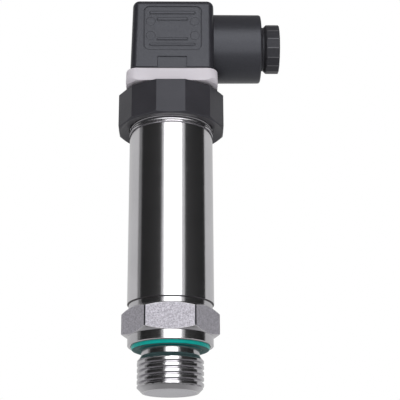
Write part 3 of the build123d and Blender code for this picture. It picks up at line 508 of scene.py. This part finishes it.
def piece_from(name, columns, materials, faces_of=None, closed=True):
    """Joins neighbouring columns of points, in millimetres, and welds what coincides.

    faces_of gives the material number of the face behind a column and a row.
    """
    count = len(columns[0])
    points = [tuple(MM * v for v in point) for column in columns for point in column]
    faces = []
    numbers = []
    for i in range(len(columns) - 1):
        for j in range(count if closed else count - 1):
            k = (j + 1) % count
            faces.append((i * count + j, i * count + k, (i + 1) * count + k, (i + 1) * count + j))
            numbers.append(faces_of(i, j) if faces_of else 0)
    mesh = bpy.data.meshes.new(name)
    mesh.from_pydata(points, [], faces)
    mesh.polygons.foreach_set("material_index", numbers)
    shell = bmesh.new()
    shell.from_mesh(mesh)
    bmesh.ops.remove_doubles(shell, verts=shell.verts, dist=WELD)
    bmesh.ops.dissolve_degenerate(shell, dist=WELD / 2, edges=shell.edges)
    bmesh.ops.recalc_face_normals(shell, faces=shell.faces)
    shell.to_mesh(mesh)
    shell.free()
    return finished(name, mesh, materials)


def close_slits(mesh):
    """Closes the hairline slits that a weld or a Boolean leaves, and counts what stays open."""
    shell = bmesh.new()
    shell.from_mesh(mesh)
    bmesh.ops.remove_doubles(shell, verts=shell.verts, dist=WELD / 4)
    loose = [edge for edge in shell.edges if edge.is_wire]
    bmesh.ops.delete(shell, geom=loose, context="EDGES")
    bmesh.ops.holes_fill(shell, edges=[edge for edge in shell.edges if edge.is_boundary], sides=4)
    shell.to_mesh(mesh)
    still_open = sum(1 for edge in shell.edges if len(edge.link_faces) != 2)
    shell.free()
    return still_open


def finished(name, mesh, materials):
    """Links a mesh as a smooth piece whose flat faces stay flat."""
    still_open = close_slits(mesh)
    for material in materials:
        mesh.materials.append(material)
    mesh.shade_smooth()
    mesh.set_sharp_from_angle(angle=SHARP_ANGLE)
    piece = bpy.data.objects.new(name, mesh)
    bpy.context.scene.collection.objects.link(piece)
    weighted = piece.modifiers.new("flat faces", "WEIGHTED_NORMAL")
    weighted.keep_sharp = True
    print(f"{name}: {len(mesh.polygons)} faces, {still_open} open edges")
    return piece


def circle_angles(steps):
    """Angles for one full turn, with the first one again at the end."""
    return [2 * math.pi * k / steps for k in range(steps + 1)]


def turned(angles, line_at, axis="Z", height=0.0):
    """The outline at each angle, set round the tube's axis or round the gland's."""
    columns = []
    for angle in angles:
        c, s = math.cos(angle), math.sin(angle)
        if axis == "Z":
            columns.append([(r * c, r * s, z) for r, z in line_at(angle)])
        else:
            columns.append([(z, r * c, height + r * s) for r, z in line_at(angle)])
    return columns


# %% Flats: the radius of a many-sided piece at an angle
CORNER_STEPS = 4


def flat_angles(sides, apothem, rounding, steps, first=0.0):
    """Angles round a piece with flats, closer together at its rounded corners."""
    half = math.pi / sides
    tangent = math.atan((apothem - rounding) * math.tan(half) / apothem)
    angles = []
    for side in range(sides):
        middle = first + 2 * half * side
        angles += [middle - tangent + 2 * tangent * k / steps for k in range(steps)]
        rest = 2 * (half - tangent)
        angles += [middle + tangent + rest * k / CORNER_STEPS for k in range(CORNER_STEPS)]
    return angles + [angles[0] + 2 * math.pi]


def flat_radius(angle, sides, apothem, rounding, first=0.0):
    """Distance from the axis to the flats, whose corners have the given rounding."""
    half = math.pi / sides
    off = (angle - first + half) % (2 * half) - half
    tangent = math.atan((apothem - rounding) * math.tan(half) / apothem)
    if abs(off) <= tangent:
        return apothem / math.cos(off)
    middle = (apothem - rounding) / math.cos(half)
    from_corner = half - abs(off)
    return middle * math.cos(from_corner) + math.sqrt(
        max(0.0, rounding ** 2 - (middle * math.sin(from_corner)) ** 2))


# %% Screw threads: the outline climbs by one pitch in each turn, lengths in mm
THREAD_STEPS = 24        # outline points in each pitch
THREAD_FLATNESS = 2.02   # how far the wave is stretched before its tops are cut off
THREAD_LEAN = 0.87       # by which the crests are wider than the grooves
THREAD_FADE = 0.35       # over which a groove fades out at each end of the thread


def thread_line(angle, low, high, pitch, crest, depth, limit, lead_in=0.0, run_out=0.0):
    """Points up the side of a right-hand thread at an angle. limit(z) is the blank's radius."""
    turns = math.ceil((high - low) / pitch) + 2
    line = []
    for step in range(turns * THREAD_STEPS + 1):
        z = low + pitch * (step / THREAD_STEPS - 1 + angle / (2 * math.pi))
        z = min(high, max(low, z))
        phase = (z - low) / pitch - angle / (2 * math.pi)
        wave = max(-1.0, min(1.0, THREAD_LEAN + THREAD_FLATNESS * math.cos(2 * math.pi * phase)))
        to_end = min(z - low - lead_in, high - run_out - z)
        cut = depth * max(0.0, min(1.0, to_end / THREAD_FADE))
        line.append((min(limit(z), crest - cut * (0.5 - 0.5 * wave)), z))
    return line


# %% [markdown]
# The stud end is one piece of stainless steel: tip, G 1/2 thread, neck, sealing shoulder and
# hexagon. It is built as one closed skin, with the bores inside that hold the measuring
# cell. The lathe leaves rings on the round parts and the mill leaves grain on the flats, so
# the flats get a finish of their own.

# %% Stud end with thread and hexagon
PITCH = 1.814
THREAD_DEPTH = 1.05
THREAD_START = 0.28      # of a turn, where the crest passes the front
THREAD_RADIUS = 10.4775
CREST_RADIUS = 10.39
THREAD_END = 11.25
TIP_RADIUS = 8.8275
LEAD_IN = 1.2            # the first groove starts this far above the tip
RUN_OUT = 1.65
NECK_RADIUS = 9.1475
SHOULDER_Z = 14.3
SHOULDER_RADIUS = 13.5
SHOULDER_EDGE = 0.2
GROOVE_RADIUS = 12.5
GROOVE_TOP = 15.8
HEX_Z = 17.2
HEX_TOP = 25.8
HEX_APOTHEM = 13.5
HEX_INNER = 13.3
HEX_ROUNDING = 0.6
HEX_SLOPE = math.tan(math.radians(27))
HEX_FRONT = -math.pi / 2
LAND_TOP = 27.45
SPIGOT_RADIUS = 12.22
SPIGOT_TOP = 31.45
MEMBRANE_RADIUS = 8.1975
MEMBRANE_TOP = 0.3
# The radius and the lower end of each bore inside, from the top down to the membrane's seat.
STUD_BORES = ((6.3, 4.0), (3.0, 2.7), (1.2, 0.6), (7.3, MEMBRANE_TOP), (MEMBRANE_RADIUS, 0.0))


def stud_blank(z):
    """Radius of the stud before the thread is cut."""
    tip = TIP_RADIUS + z
    run_out = NECK_RADIUS + (THREAD_END - z) * (THREAD_RADIUS - NECK_RADIUS) / RUN_OUT
    return min(THREAD_RADIUS, tip, run_out)


def stud_line(angle):
    """Outline of the stud end at an angle, from the tip up the outside and down the bores."""
    corner = flat_radius(angle, 6, HEX_APOTHEM, HEX_ROUNDING, HEX_FRONT)
    rise = (corner - HEX_INNER) * HEX_SLOPE
    thread = thread_line(angle + 2 * math.pi * THREAD_START, 0.0, THREAD_END, PITCH, CREST_RADIUS,
                         THREAD_DEPTH, stud_blank, LEAD_IN, RUN_OUT - 0.1)
    inside = []
    bore_top = SPIGOT_TOP
    for radius, bottom in STUD_BORES:
        inside += [(radius, bore_top, 0), (radius, bottom, 0)]
        bore_top = bottom
    body = outline([
        (NECK_RADIUS, THREAD_END + 0.1, 0), (NECK_RADIUS, GROOVE_TOP, 0),
        (GROOVE_RADIUS, GROOVE_TOP, 0), (GROOVE_RADIUS, SHOULDER_Z, 0.06),
        (SHOULDER_RADIUS - SHOULDER_EDGE, SHOULDER_Z, 0.08),
        (SHOULDER_RADIUS, SHOULDER_Z + SHOULDER_EDGE, 0.08),
        (SHOULDER_RADIUS, HEX_Z, 0), (HEX_INNER, HEX_Z, 0),
        (corner, HEX_Z + rise, 0.12), (corner, HEX_TOP - rise, 0.12),
        (HEX_INNER, HEX_TOP, 0.1), (HEX_INNER, LAND_TOP, 0.12),
        (SPIGOT_RADIUS, LAND_TOP, 0), (SPIGOT_RADIUS, SPIGOT_TOP, 0.2)] + inside, closed=False)
    return thread + body


FLAT_STEPS = 20
stud_angles = flat_angles(6, HEX_APOTHEM, HEX_ROUNDING, FLAT_STEPS, HEX_FRONT)
stud_columns = turned(stud_angles, stud_line)
# At a corner of the hexagon, its flats are the long rows further out than what is turned.
sample = stud_line(HEX_FRONT + math.pi / 6)
flat_rows = {j for j in range(len(sample) - 1)
             if min(sample[j][0], sample[j + 1][0]) > HEX_APOTHEM + 1.0
             and sample[j + 1][1] - sample[j][1] > 1.0}


def stud_finish(column, row):
    """1 on the milled flats, 2 on the corners between them, which are painted dark as a reflection, 0 on
    what is turned.
    """
    if row not in flat_rows:
        return 0
    return 1 if column % (FLAT_STEPS + CORNER_STEPS) < FLAT_STEPS else 2


stud = piece_from("stud_end", stud_columns, [turned_steel, milled_steel, painted_dark_corner_steel], stud_finish)
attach(stud, "housing")
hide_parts("process_connection")

# %% [markdown]
# The membrane is a thin disc welded flush into the tip. A turned disc with a shallow weld
# ring near its edge is enough, and the lathe rings in its finish do the rest.

# %% Membrane
WELD_DEPTH = 0.05
membrane_line = outline([
    (0, MEMBRANE_TOP, 0), (MEMBRANE_RADIUS, MEMBRANE_TOP, 0), (MEMBRANE_RADIUS, 0.0, 0.05),
    (7.75, 0.0, 0.05), (7.6, WELD_DEPTH, 0.05), (7.4, WELD_DEPTH, 0.05), (7.25, 0.0, 0.05),
    (0, 0.0, 0)], closed=False)
round_angles = circle_angles(144)
membrane_columns = turned(round_angles, lambda a: membrane_line)
membrane = piece_from("membrane_disc", membrane_columns, [face_steel], closed=False)
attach(membrane, "housing")
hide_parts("membrane")

# %% [markdown]
# The seal is a moulded profile ring. It is flat in its groove and hangs down as a soft bead,
# with a fine furrow between the bead and the thin lip that hugs the neck.

# %% Profile seal
SEAL_OUTER = 12.42
SEAL_INNER = 9.2275
SEAL_LIP_Z = 13.0
SEAL_RIM_Z = 14.5
# Within this radius the underside of the seal has a painted shade.
PAINTED_SHADE_REACH = 11.9
FURROW = (9.9, 13.5, 0.1)
seal_line = outline([
    (SEAL_INNER, SEAL_LIP_Z, 0.04), (SEAL_INNER + 0.3, SEAL_LIP_Z, 0.12), FURROW,
    (10.2, 13.32, 0.1), (11.0, 13.2, 0.4), (12.2, 13.25, 0.5),
    (SEAL_OUTER, SEAL_RIM_Z, 0.2), (SEAL_OUTER, GROOVE_TOP, 0.1), (SEAL_INNER, GROOVE_TOP, 0)])


def seal_finish(column, row):
    """1 on the underside, which has a painted shade, 0 on the flank and in the groove."""
    return int(seal_line[row][0] < PAINTED_SHADE_REACH and seal_line[row][1] < GROOVE_TOP)


seal_columns = turned(round_angles, lambda a: seal_line)
seal = piece_from("profile_seal", seal_columns, [teal_rubber, teal_painted_shade], seal_finish)
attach(seal, "housing")
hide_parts("seal_ring")

# %% [markdown]
# The tube is drawn, ground bright and welded on. Only its edges need care, because they show
# as thin bright lines at both ends.

# %% Tube
TUBE_RADIUS = 13.74
TUBE_BORE = 12.24
TUBE_Z = LAND_TOP
TUBE_TOP = 85.0
FOOT_CHAMFER = 0.2
TOP_CHAMFER = 0.3
SEAM_HEIGHT = 0.3
tube_line = outline([
    (TUBE_BORE, TUBE_Z, 0), (TUBE_RADIUS - FOOT_CHAMFER, TUBE_Z, 0.06),
    (TUBE_RADIUS, TUBE_Z + FOOT_CHAMFER, 0.06), (TUBE_RADIUS, TUBE_TOP - TOP_CHAMFER, 0.1),
    (TUBE_RADIUS - TOP_CHAMFER, TUBE_TOP, 0.08), (TUBE_BORE, TUBE_TOP, 0)])


def tube_finish(column, row):
    """1 on the darkened weld seam at the foot, 0 on the ground wall."""
    upper = max(tube_line[row][1], tube_line[(row + 1) % len(tube_line)][1])
    return int(upper < TUBE_Z + SEAM_HEIGHT)


tube_columns = turned(round_angles, lambda a: tube_line)
tube = piece_from("tube_shell", tube_columns, [tube_steel, seam_steel], tube_finish)
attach(tube, "housing")
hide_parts("housing_tube")

# %% [markdown]
# Just under the nut the foot of the collar shows: two narrow bright lands and a groove. The
# thread that the nut runs on starts above them. The lands lean a little outwards, so they
# mirror the room and not the black cone of the nut.

# %% Threaded collar
COLLAR_RADIUS = 14.0
COLLAR_LAND = 13.9
COLLAR_LEAN = 0.16
COLLAR_GROOVE = 13.45
COLLAR_LANDS = ((85.1, 85.45), (85.85, 86.15))     # lower and upper edge of each land
COLLAR_THREAD_Z = 87.5
COLLAR_TOP = 94.5
COLLAR_CHAMFER = 0.4
COLLAR_BORE = 11.6
COLLAR_SPIGOT_Z = 79.0
COLLAR_SEAT = 13.3       # radius of the part that stands on the tube


def collar_blank(z):
    """Radius of the collar before its thread is cut, with a chamfer at each end."""
    to_end = min(z - COLLAR_THREAD_Z, COLLAR_TOP - z)
    return min(COLLAR_RADIUS, COLLAR_RADIUS - COLLAR_CHAMFER + to_end)


def collar_line(angle):
    """Outline of the collar at an angle."""
    thread = thread_line(angle, COLLAR_THREAD_Z, COLLAR_TOP, 1.0, COLLAR_RADIUS, 0.61, collar_blank)
    band = [(COLLAR_BORE, COLLAR_SPIGOT_Z), (SPIGOT_RADIUS, COLLAR_SPIGOT_Z),
            (SPIGOT_RADIUS, TUBE_TOP), (COLLAR_SEAT, TUBE_TOP), (COLLAR_SEAT, 85.08)]
    for low, high in COLLAR_LANDS:
        band += [(COLLAR_LAND - COLLAR_LEAN / 2, low), (COLLAR_LAND, high), (COLLAR_GROOVE, high + 0.05),
                 (COLLAR_GROOVE, high + 0.3)]
    band += [(COLLAR_GROOVE, 86.5), (COLLAR_GROOVE, 87.05), (COLLAR_LAND - COLLAR_LEAN, 87.1)]
    return band + thread + [(COLLAR_BORE, COLLAR_TOP)]


collar = piece_from("collar_with_thread", turned(round_angles, collar_line), [turned_steel])
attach(collar, "housing")
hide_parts("threaded_collar")

# %% [markdown]
# The union nut has twelve flats. Its lower end is turned to a shallow cone, which cuts the
# flats in curved edges. The outline at each angle meets the cone at its own height, and that
# alone draws those curves.

# %% Union nut
NUT_SIDES = 12
NUT_APOTHEM = 17.35
NUT_ROUNDING = 0.3
NUT_Z = 86.5
NUT_TOP = 98.25
NUT_INNER = 17.05
NUT_SLOPE = math.tan(math.radians(30))
NUT_BORE = 14.08
NUT_MOUTH_Z = NUT_Z + 0.6
NUT_LIP = 12.2
NUT_LIP_Z = 96.75


def nut_line(angle):
    """Outline of the nut at an angle: outside up, over the lip and down the bore."""
    corner = flat_radius(angle, NUT_SIDES, NUT_APOTHEM, NUT_ROUNDING, HEX_FRONT)
    fall = (corner - NUT_INNER) * NUT_SLOPE
    return outline([
        (14.4, NUT_MOUTH_Z, 0.05), (NUT_INNER, NUT_Z, 0.08), (corner, NUT_Z + fall, 0.2),
        (corner, NUT_TOP, 0.25), (NUT_LIP, NUT_TOP, 0.1), (NUT_LIP, NUT_LIP_Z, 0),
        (NUT_BORE, NUT_LIP_Z, 0), (NUT_BORE, NUT_MOUTH_Z, 0)])


nut_angles = flat_angles(NUT_SIDES, NUT_APOTHEM, NUT_ROUNDING, 12, HEX_FRONT)
nut = piece_from("nut_shell", turned(nut_angles, nut_line), [nut_plastic])
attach(nut, "nut")
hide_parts("union_nut")

# %% [markdown]
# The connector base is a square plate on a round neck. Towards the nut its corners are
# rounded off along an arc. The same trick works here: the side wall stops where the arc cuts
# it, and that height depends on how far out the wall is.

# %% Connector base
PLATE_Z = 98.85
PLATE_TOP = 103.45
PLATE_HALF = 15.05
PLATE_SHIFT = 0.3        # towards the gland, as the photograph shows the plate
PLATE_CORNER = 3.3
PLATE_FOOT = 18.54       # radius within which the underside of the plate is flat
ARC_RADIUS = 2.677
ARC_LEAN = math.radians(20)
ARC_CENTRE = (PLATE_FOOT - ARC_RADIUS * math.sin(ARC_LEAN), PLATE_Z + ARC_RADIUS * math.cos(ARC_LEAN))
ARC_CUTS = 8
FOOT_EDGE = 0.5
SCREW_HOLE = 2.62
SCREW_HOLE_Z = 95.45
BASE_NECK = 11.9
FLANGE = 13.6            # the slip ring of the nut presses on it
FLANGE_TOP = 96.05
BASE_SPIGOT = 11.52
BASE_BORE = 9.9
# (radius, height, rounding) down from the neck: flange, spigot with the O-ring's groove, bore.
BASE_FOOT = [
    (BASE_NECK, FLANGE_TOP, 0), (FLANGE, FLANGE_TOP, 0.1), (FLANGE, 94.55, 0.1),
    (BASE_SPIGOT, 94.55, 0), (BASE_SPIGOT, 92.25, 0.1), (10.4, 92.25, 0), (10.4, 90.85, 0),
    (BASE_SPIGOT, 90.85, 0.1), (BASE_SPIGOT, 88.05, 0.2), (BASE_BORE, 88.05, 0.2),
    (BASE_BORE, 93.05, 0), (0, 93.05, 0)]


def square_radius(angle, half, corner):
    """Distance from the axis to the side of a square with round corners."""
    c, s = abs(math.cos(angle)), abs(math.sin(angle))
    if c < s:
        c, s = s, c
    middle = half - corner
    if half * s / c <= middle:
        return half / c
    along = middle * (c + s)
    return along + math.sqrt(along * along - 2 * middle * middle + corner * corner)


def base_line(angle):
    """Outline of the base at an angle, from the bore over the plate and down to the spigot."""
    side = square_radius(angle, PLATE_HALF, PLATE_CORNER)
    start = side - FOOT_EDGE
    inner = min(start, PLATE_FOOT)

    def arc(r):
        if r < PLATE_FOOT:
            return PLATE_Z
        return ARC_CENTRE[1] - math.sqrt(ARC_RADIUS ** 2 - (r - ARC_CENTRE[0]) ** 2)

    radii = [start + (inner - start) * k / ARC_CUTS for k in range(ARC_CUTS + 1)]
    undercut = [(side, arc(side), 0.2)] + [(r, arc(r), 0) for r in radii]
    top = [(0, SCREW_HOLE_Z, 0), (SCREW_HOLE, SCREW_HOLE_Z, 0), (SCREW_HOLE, PLATE_TOP, 0.1),
           (side - 0.5, PLATE_TOP, 0.2), (side - 0.15, PLATE_TOP - 0.4, 0.3)]
    return outline(top + undercut + [(BASE_NECK, PLATE_Z, 0)] + BASE_FOOT, closed=False)


def shifted(point):
    """Moves the points of the plate sideways, but not the screw hole or what is below."""
    x, y, z = point
    in_plate = z > PLATE_Z - 0.01 and math.hypot(x, y) > 5
    return (x + PLATE_SHIFT, y, z) if in_plate else point


EDGE_STEPS = 48
TURN_STEPS = 12
edge_turn = math.atan((PLATE_HALF - PLATE_CORNER) / PLATE_HALF)
corner_turn = math.pi / 2 - 2 * edge_turn
square_angles = []
for quarter in range(4):
    start = math.pi / 2 * quarter
    square_angles += [start - edge_turn + 2 * edge_turn * k / EDGE_STEPS for k in range(EDGE_STEPS)]
    square_angles += [start + edge_turn + corner_turn * k / TURN_STEPS for k in range(TURN_STEPS)]
square_angles.append(square_angles[0] + 2 * math.pi)
base_columns = [[shifted(point) for point in column] for column in turned(square_angles, base_line)]
base = piece_from("base_moulding", base_columns, [white_plastic], closed=False)
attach(base, "head")
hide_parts("connector_base")

# %% [markdown]
# The connector housing is a box-shaped moulding with a round barrel at its side, so it can't
# come from one outline. It is put together as a toolmaker would think of it: a block with
# soft edges, the barrel added, and the hollows and the shallow panel cut out. Boolean
# modifiers do that, and a small bevel then softens each new edge.

# %% Solids to add and cut
GLAND_Z = 117.55
PLUG_Z = 104.3
PLUG_TOP = 129.3
PLUG_SHIFT = 0.4         # from the axis towards the gland, at the foot of the block
PLUG_TOP_SHIFT = 0.7     # and at its top
PLUG_HALF_FOOT = 13.75
PLUG_HALF_TOP = 13.45
PLUG_HALF_DEPTH = 13.75
PLUG_ROUNDING = 2.2


def loose_solid(name, mesh):
    """A helper solid that is used up by a Boolean and then deleted."""
    solid = bpy.data.objects.new(name, mesh)
    bpy.context.scene.collection.objects.link(solid)
    return solid


def prism(name, outline_points, start, length, frame_of):
    """A straight-sided solid on an outline. frame_of places (u, v, w), all in millimetres."""
    shell = bmesh.new()
    count = len(outline_points)
    near, far = ([shell.verts.new([MM * c for c in frame_of(u, v, w)]) for u, v in outline_points]
                 for w in (start, start + length))
    shell.faces.new(near)
    shell.faces.new(far)
    for k in range(count):
        n = (k + 1) % count
        shell.faces.new([near[k], near[n], far[n], far[k]])
    bmesh.ops.recalc_face_normals(shell, faces=shell.faces)
    mesh = bpy.data.meshes.new(name)
    shell.to_mesh(mesh)
    shell.free()
    return loose_solid(name, mesh)


def rounded_rectangle(width, height, corner, middle=(0.0, 0.0), steps=8):
    """Points round a rectangle with round corners."""
    points = []
    for quarter in range(4):
        cx = middle[0] + (width / 2 - corner) * (1, -1, -1, 1)[quarter]
        cy = middle[1] + (height / 2 - corner) * (1, 1, -1, -1)[quarter]
        turns = steps if corner else 0
        for k in range(turns + 1):
            a = math.pi / 2 * (quarter + (k / turns if turns else 0))
            points.append((cx + corner * math.cos(a), cy + corner * math.sin(a)))
    return points


def circle(radius, middle=(0.0, 0.0), steps=96):
    """Points round a circle."""
    return [(middle[0] + radius * math.cos(2 * math.pi * k / steps),
             middle[1] + radius * math.sin(2 * math.pi * k / steps)) for k in range(steps)]


def upright(u, v, w):
    """Outline lies flat and rises."""
    return (u, v, w)


def sideways(u, v, w):
    """Outline stands across the gland and runs along +X."""
    return (w, u, v)


def from_front(u, v, w):
    """Outline stands in the front face and goes in along +Y."""
    return (u, -PLUG_HALF_DEPTH + w, v)


def combine(target, tool, operation):
    """Adds a helper solid to the target or cuts it away, and deletes the helper."""
    step = target.modifiers.new(operation, "BOOLEAN")
    step.operation = operation
    step.solver = "EXACT"
    step.object = tool
    done = bpy.data.meshes.new_from_object(target.evaluated_get(bpy.context.evaluated_depsgraph_get()))
    target.modifiers.clear()
    target.data = done
    bpy.data.objects.remove(tool)


# %% Block of the housing, with soft edges on its sides and top
block = bmesh.new()
bmesh.ops.create_cube(block, size=1.0)
for vert in block.verts:
    high = vert.co.z > 0
    half = PLUG_HALF_TOP if high else PLUG_HALF_FOOT
    shift = PLUG_TOP_SHIFT if high else PLUG_SHIFT
    vert.co = Vector((shift + half * (1 if vert.co.x > 0 else -1),
                      PLUG_HALF_DEPTH * (1 if vert.co.y > 0 else -1), PLUG_TOP if high else PLUG_Z)) * MM
soft_edges = [e for e in block.edges if max(v.co.z for v in e.verts) > (PLUG_TOP - 1) * MM]
bmesh.ops.bevel(block, geom=soft_edges, offset=PLUG_ROUNDING * MM, segments=8, profile=0.5,
                affect="EDGES", clamp_overlap=True)
block_mesh = bpy.data.meshes.new("plug_shell")
block.to_mesh(block_mesh)
block.free()
housing = loose_solid("plug_shell", block_mesh)

# %% Barrel, hollows and the seat of the centre screw
BARREL_ROOT = 11.6       # inside the block, so that the two join
BARREL_END = 30.3
BARREL_RADIUS = 11.7
BARREL_DRAFT = math.tan(math.radians(0.2))
barrel_tip = BARREL_RADIUS - (BARREL_END - 11.5) * BARREL_DRAFT
barrel_line = outline([(0, BARREL_ROOT, 0), (BARREL_RADIUS, BARREL_ROOT, 0),
                       (barrel_tip, BARREL_END, 0.8), (0, BARREL_END, 0)], closed=False)
barrel_columns = turned(circle_angles(96), lambda a: barrel_line, "X", GLAND_Z)
barrel = piece_from("barrel", barrel_columns, [], closed=False)
barrel.modifiers.clear()
combine(housing, barrel, "UNION")
for name, shape, start, length, frame_of, operation in (
        ("cavity", rounded_rectangle(23.0, 23.0, 1.0), PLUG_Z - 1, 20.1, upright, "DIFFERENCE"),
        ("guide", circle(3.4, steps=48), 116.5, 8.0, upright, "UNION"),
        ("seat", circle(3.6, steps=64), 125.35, 6.0, upright, "DIFFERENCE"),
        ("channel", circle(1.65, steps=32), 115.0, 12.0, upright, "DIFFERENCE"),
        ("bore", circle(8.08, (0, GLAND_Z)), 17.0, 15.0, sideways, "DIFFERENCE"),
        ("passage", circle(5.5, (0, GLAND_Z), 64), 10.5, 8.0, sideways, "DIFFERENCE")):
    combine(housing, prism(name, shape, start, length, frame_of), operation)
print("housing after the hollows:", len(housing.data.polygons), "faces")

# %% Moulded face: shallow panel, bars, round marks and the notch at the foot
PANEL_MIDDLE = (0.55, 118.5)
BARS_X = 0.4
PANEL_DEPTH = 0.15
PANEL_RAISED = 0.04
GROOVE_WIDTH = 0.28
GROOVE_DEPTH = 0.3       # as deep as the panel of the CAD model
BARS = ((14.7, 0.8, 5.75), (9.8, 0.8, 3.4), (9.8, 0.6, -4.0), (14.7, 0.6, -6.0))
MARK_RADIUS = 1.5
MARK_RAISED = 0.08


def outlined(width, height, corner, middle, level, drop=0.0):
    """A raised field with a narrow groove round it, sunk into the front face.

    level is how deep the field lies, and drop lowers the groove so that it shows wider below.
    """
    around = rounded_rectangle(width + 2 * GROOVE_WIDTH, height + 2 * GROOVE_WIDTH,
                               corner + GROOVE_WIDTH, (middle[0], middle[1] - drop))
    combine(housing, prism("groove", around, -1.0, 1.0 + GROOVE_DEPTH, from_front), "DIFFERENCE")
    field = rounded_rectangle(width, height, corner, middle)
    combine(housing, prism("field", field, level, 1.0 - level, from_front), "UNION")


outlined(18.6, 15.7, 1.6, PANEL_MIDDLE, PANEL_DEPTH)
notch = rounded_rectangle(9.6, 4.85, 0.0, (PLUG_SHIFT, PLUG_Z + 1.425))
combine(housing, prism("notch", notch, -1.0, 1.4, from_front), "DIFFERENCE")
for width, height, offset in BARS:      # each offset is from the middle of the panel
    outlined(width, height, 0.25, (BARS_X, PANEL_MIDDLE[1] + offset), PANEL_RAISED, 0.08)
for u in (-7.3, 7.3):
    for v in (-2.8, 2.5):
        mark = circle(MARK_RADIUS, (PANEL_MIDDLE[0] + u, PANEL_MIDDLE[1] + v), 40)
        combine(housing, prism("mark", mark, PANEL_DEPTH - MARK_RAISED, 0.4, from_front), "UNION")
print("housing with its face:", len(housing.data.polygons), "faces")

# %% Soften the housing's edges and hand it over
final_mesh = housing.data
bpy.data.objects.remove(housing)
final_mesh.materials.clear()
plug = finished("plug_moulding", final_mesh, [plug_plastic])
soft = plug.modifiers.new("soft edges", "BEVEL")
soft.width = 0.08 * MM
soft.segments = 2
soft.limit_method = "ANGLE"
soft.angle_limit = math.radians(30)
soft.use_clamp_overlap = False
soft.harden_normals = True
plug.modifiers.move(1, 0)      # the bevel comes before the weighted normals
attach(plug, "plug")
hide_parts("plug_housing")

# %% [markdown]
# The gland's pressure screw has a sixteen-sided head for the fingers, with corners that carry
# a painted highlight, paler than the flats, and a coarse thread that disappears into the barrel.

# %% Gland screw
HEAD_SIDES = 16
HEAD_APOTHEM = 8.35 * math.cos(math.pi / HEAD_SIDES)
HEAD_FIRST = math.pi / HEAD_SIDES
HEAD_ROUNDING = 0.7
HEAD_CONE = 7.45
HEAD_STEPS = 8
HEAD_X = 31.4
HEAD_END = 36.6
SHANK_X = 24.9
SHANK_END = 30.9
SHANK_RADIUS = 8.0
SHANK_NECK = 7.4
GLAND_BORE = 4.9


def shank_blank(x):
    """Radius of the gland screw before its thread is cut."""
    return min(SHANK_RADIUS, 7.3 + (x - SHANK_X), SHANK_NECK + (SHANK_END - x) * 2)


def gland_line(angle):
    """Outline of the gland screw at an angle, as (radius, distance along +X)."""
    side = flat_radius(angle, HEAD_SIDES, HEAD_APOTHEM, HEAD_ROUNDING, HEAD_FIRST)
    thread = thread_line(angle, SHANK_X, SHANK_END, 1.5, SHANK_RADIUS, 0.9, shank_blank)
    head = outline([
        (SHANK_NECK, SHANK_END + 0.1, 0), (SHANK_NECK, HEAD_X, 0), (HEAD_CONE, HEAD_X, 0.08),
        (side, HEAD_X + side - HEAD_CONE, 0.15), (side, HEAD_END, 0.3), (5.4, HEAD_END, 0.1),
        (GLAND_BORE, 36.1, 0.1), (GLAND_BORE, SHANK_X, 0)], closed=False)
    return thread + head


# The flats of the head are its long rows outside the cone.
head_sample = gland_line(HEAD_FIRST)
head_rows = {j for j in range(len(head_sample) - 1)
             if head_sample[j][0] > HEAD_CONE + 0.5 and head_sample[j + 1][1] - head_sample[j][1] > 0.5}


def head_finish(column, row):
    """1 on the corners between the flats, which carry a painted highlight, 0 elsewhere."""
    return int(row in head_rows and column % (HEAD_STEPS + CORNER_STEPS) >= HEAD_STEPS)


head_angles = flat_angles(HEAD_SIDES, HEAD_APOTHEM, HEAD_ROUNDING, HEAD_STEPS, HEAD_FIRST)
gland_columns = turned(head_angles, gland_line, "X", GLAND_Z)
gland = piece_from("gland_cap", gland_columns, [gland_plastic, painted_highlight_plastic], head_finish)
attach(gland, "pressure_screw")
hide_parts("gland_screw")

# %% [markdown]
# The long centre screw holds the connector down. Its slotted head sits in a hollow in the
# top, where it shows from above, and its thread shows when the connector is pulled off.

# %% Centre screw
SCREW_FOOT = 98.2
SCREW_THREAD_TOP = 107.0
SCREW_RADIUS = 1.45
SCREW_HEAD_Z = 126.2
SCREW_HEAD_TOP = 128.4
SCREW_HEAD_RADIUS = 2.75


def screw_blank(z):
    """Radius of the centre screw before its thread is cut."""
    return min(SCREW_RADIUS, 1.0 + (z - SCREW_FOOT), 1.2 + (SCREW_THREAD_TOP - z) * 2)


def screw_line(angle):
    """Outline of the centre screw at an angle."""
    thread = thread_line(angle, SCREW_FOOT, SCREW_THREAD_TOP, 0.5, SCREW_RADIUS, 0.3, screw_blank)
    head = outline([
        (SCREW_RADIUS, SCREW_THREAD_TOP + 0.2, 0.1), (SCREW_RADIUS, SCREW_HEAD_Z, 0),
        (SCREW_HEAD_RADIUS, SCREW_HEAD_Z, 0.1), (SCREW_HEAD_RADIUS, SCREW_HEAD_TOP, 0.3),
        (0, SCREW_HEAD_TOP, 0)], closed=False)
    return [(0, SCREW_FOOT)] + thread + head


screw_columns = turned(circle_angles(48), screw_line)
screw_piece = piece_from("centre_screw_blank", screw_columns, [], closed=False)
screw_piece.modifiers.clear()
slot = prism("slot", rounded_rectangle(7.0, 0.8, 0.0), SCREW_HEAD_TOP - 1.1, 3.0, upright)
combine(screw_piece, slot, "DIFFERENCE")
screw_mesh = screw_piece.data
bpy.data.objects.remove(screw_piece)
screw_mesh.materials.clear()
centre_screw = finished("slotted_screw", screw_mesh, [plated_steel])
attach(centre_screw, "centre_screw")
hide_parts("fixing_screw")
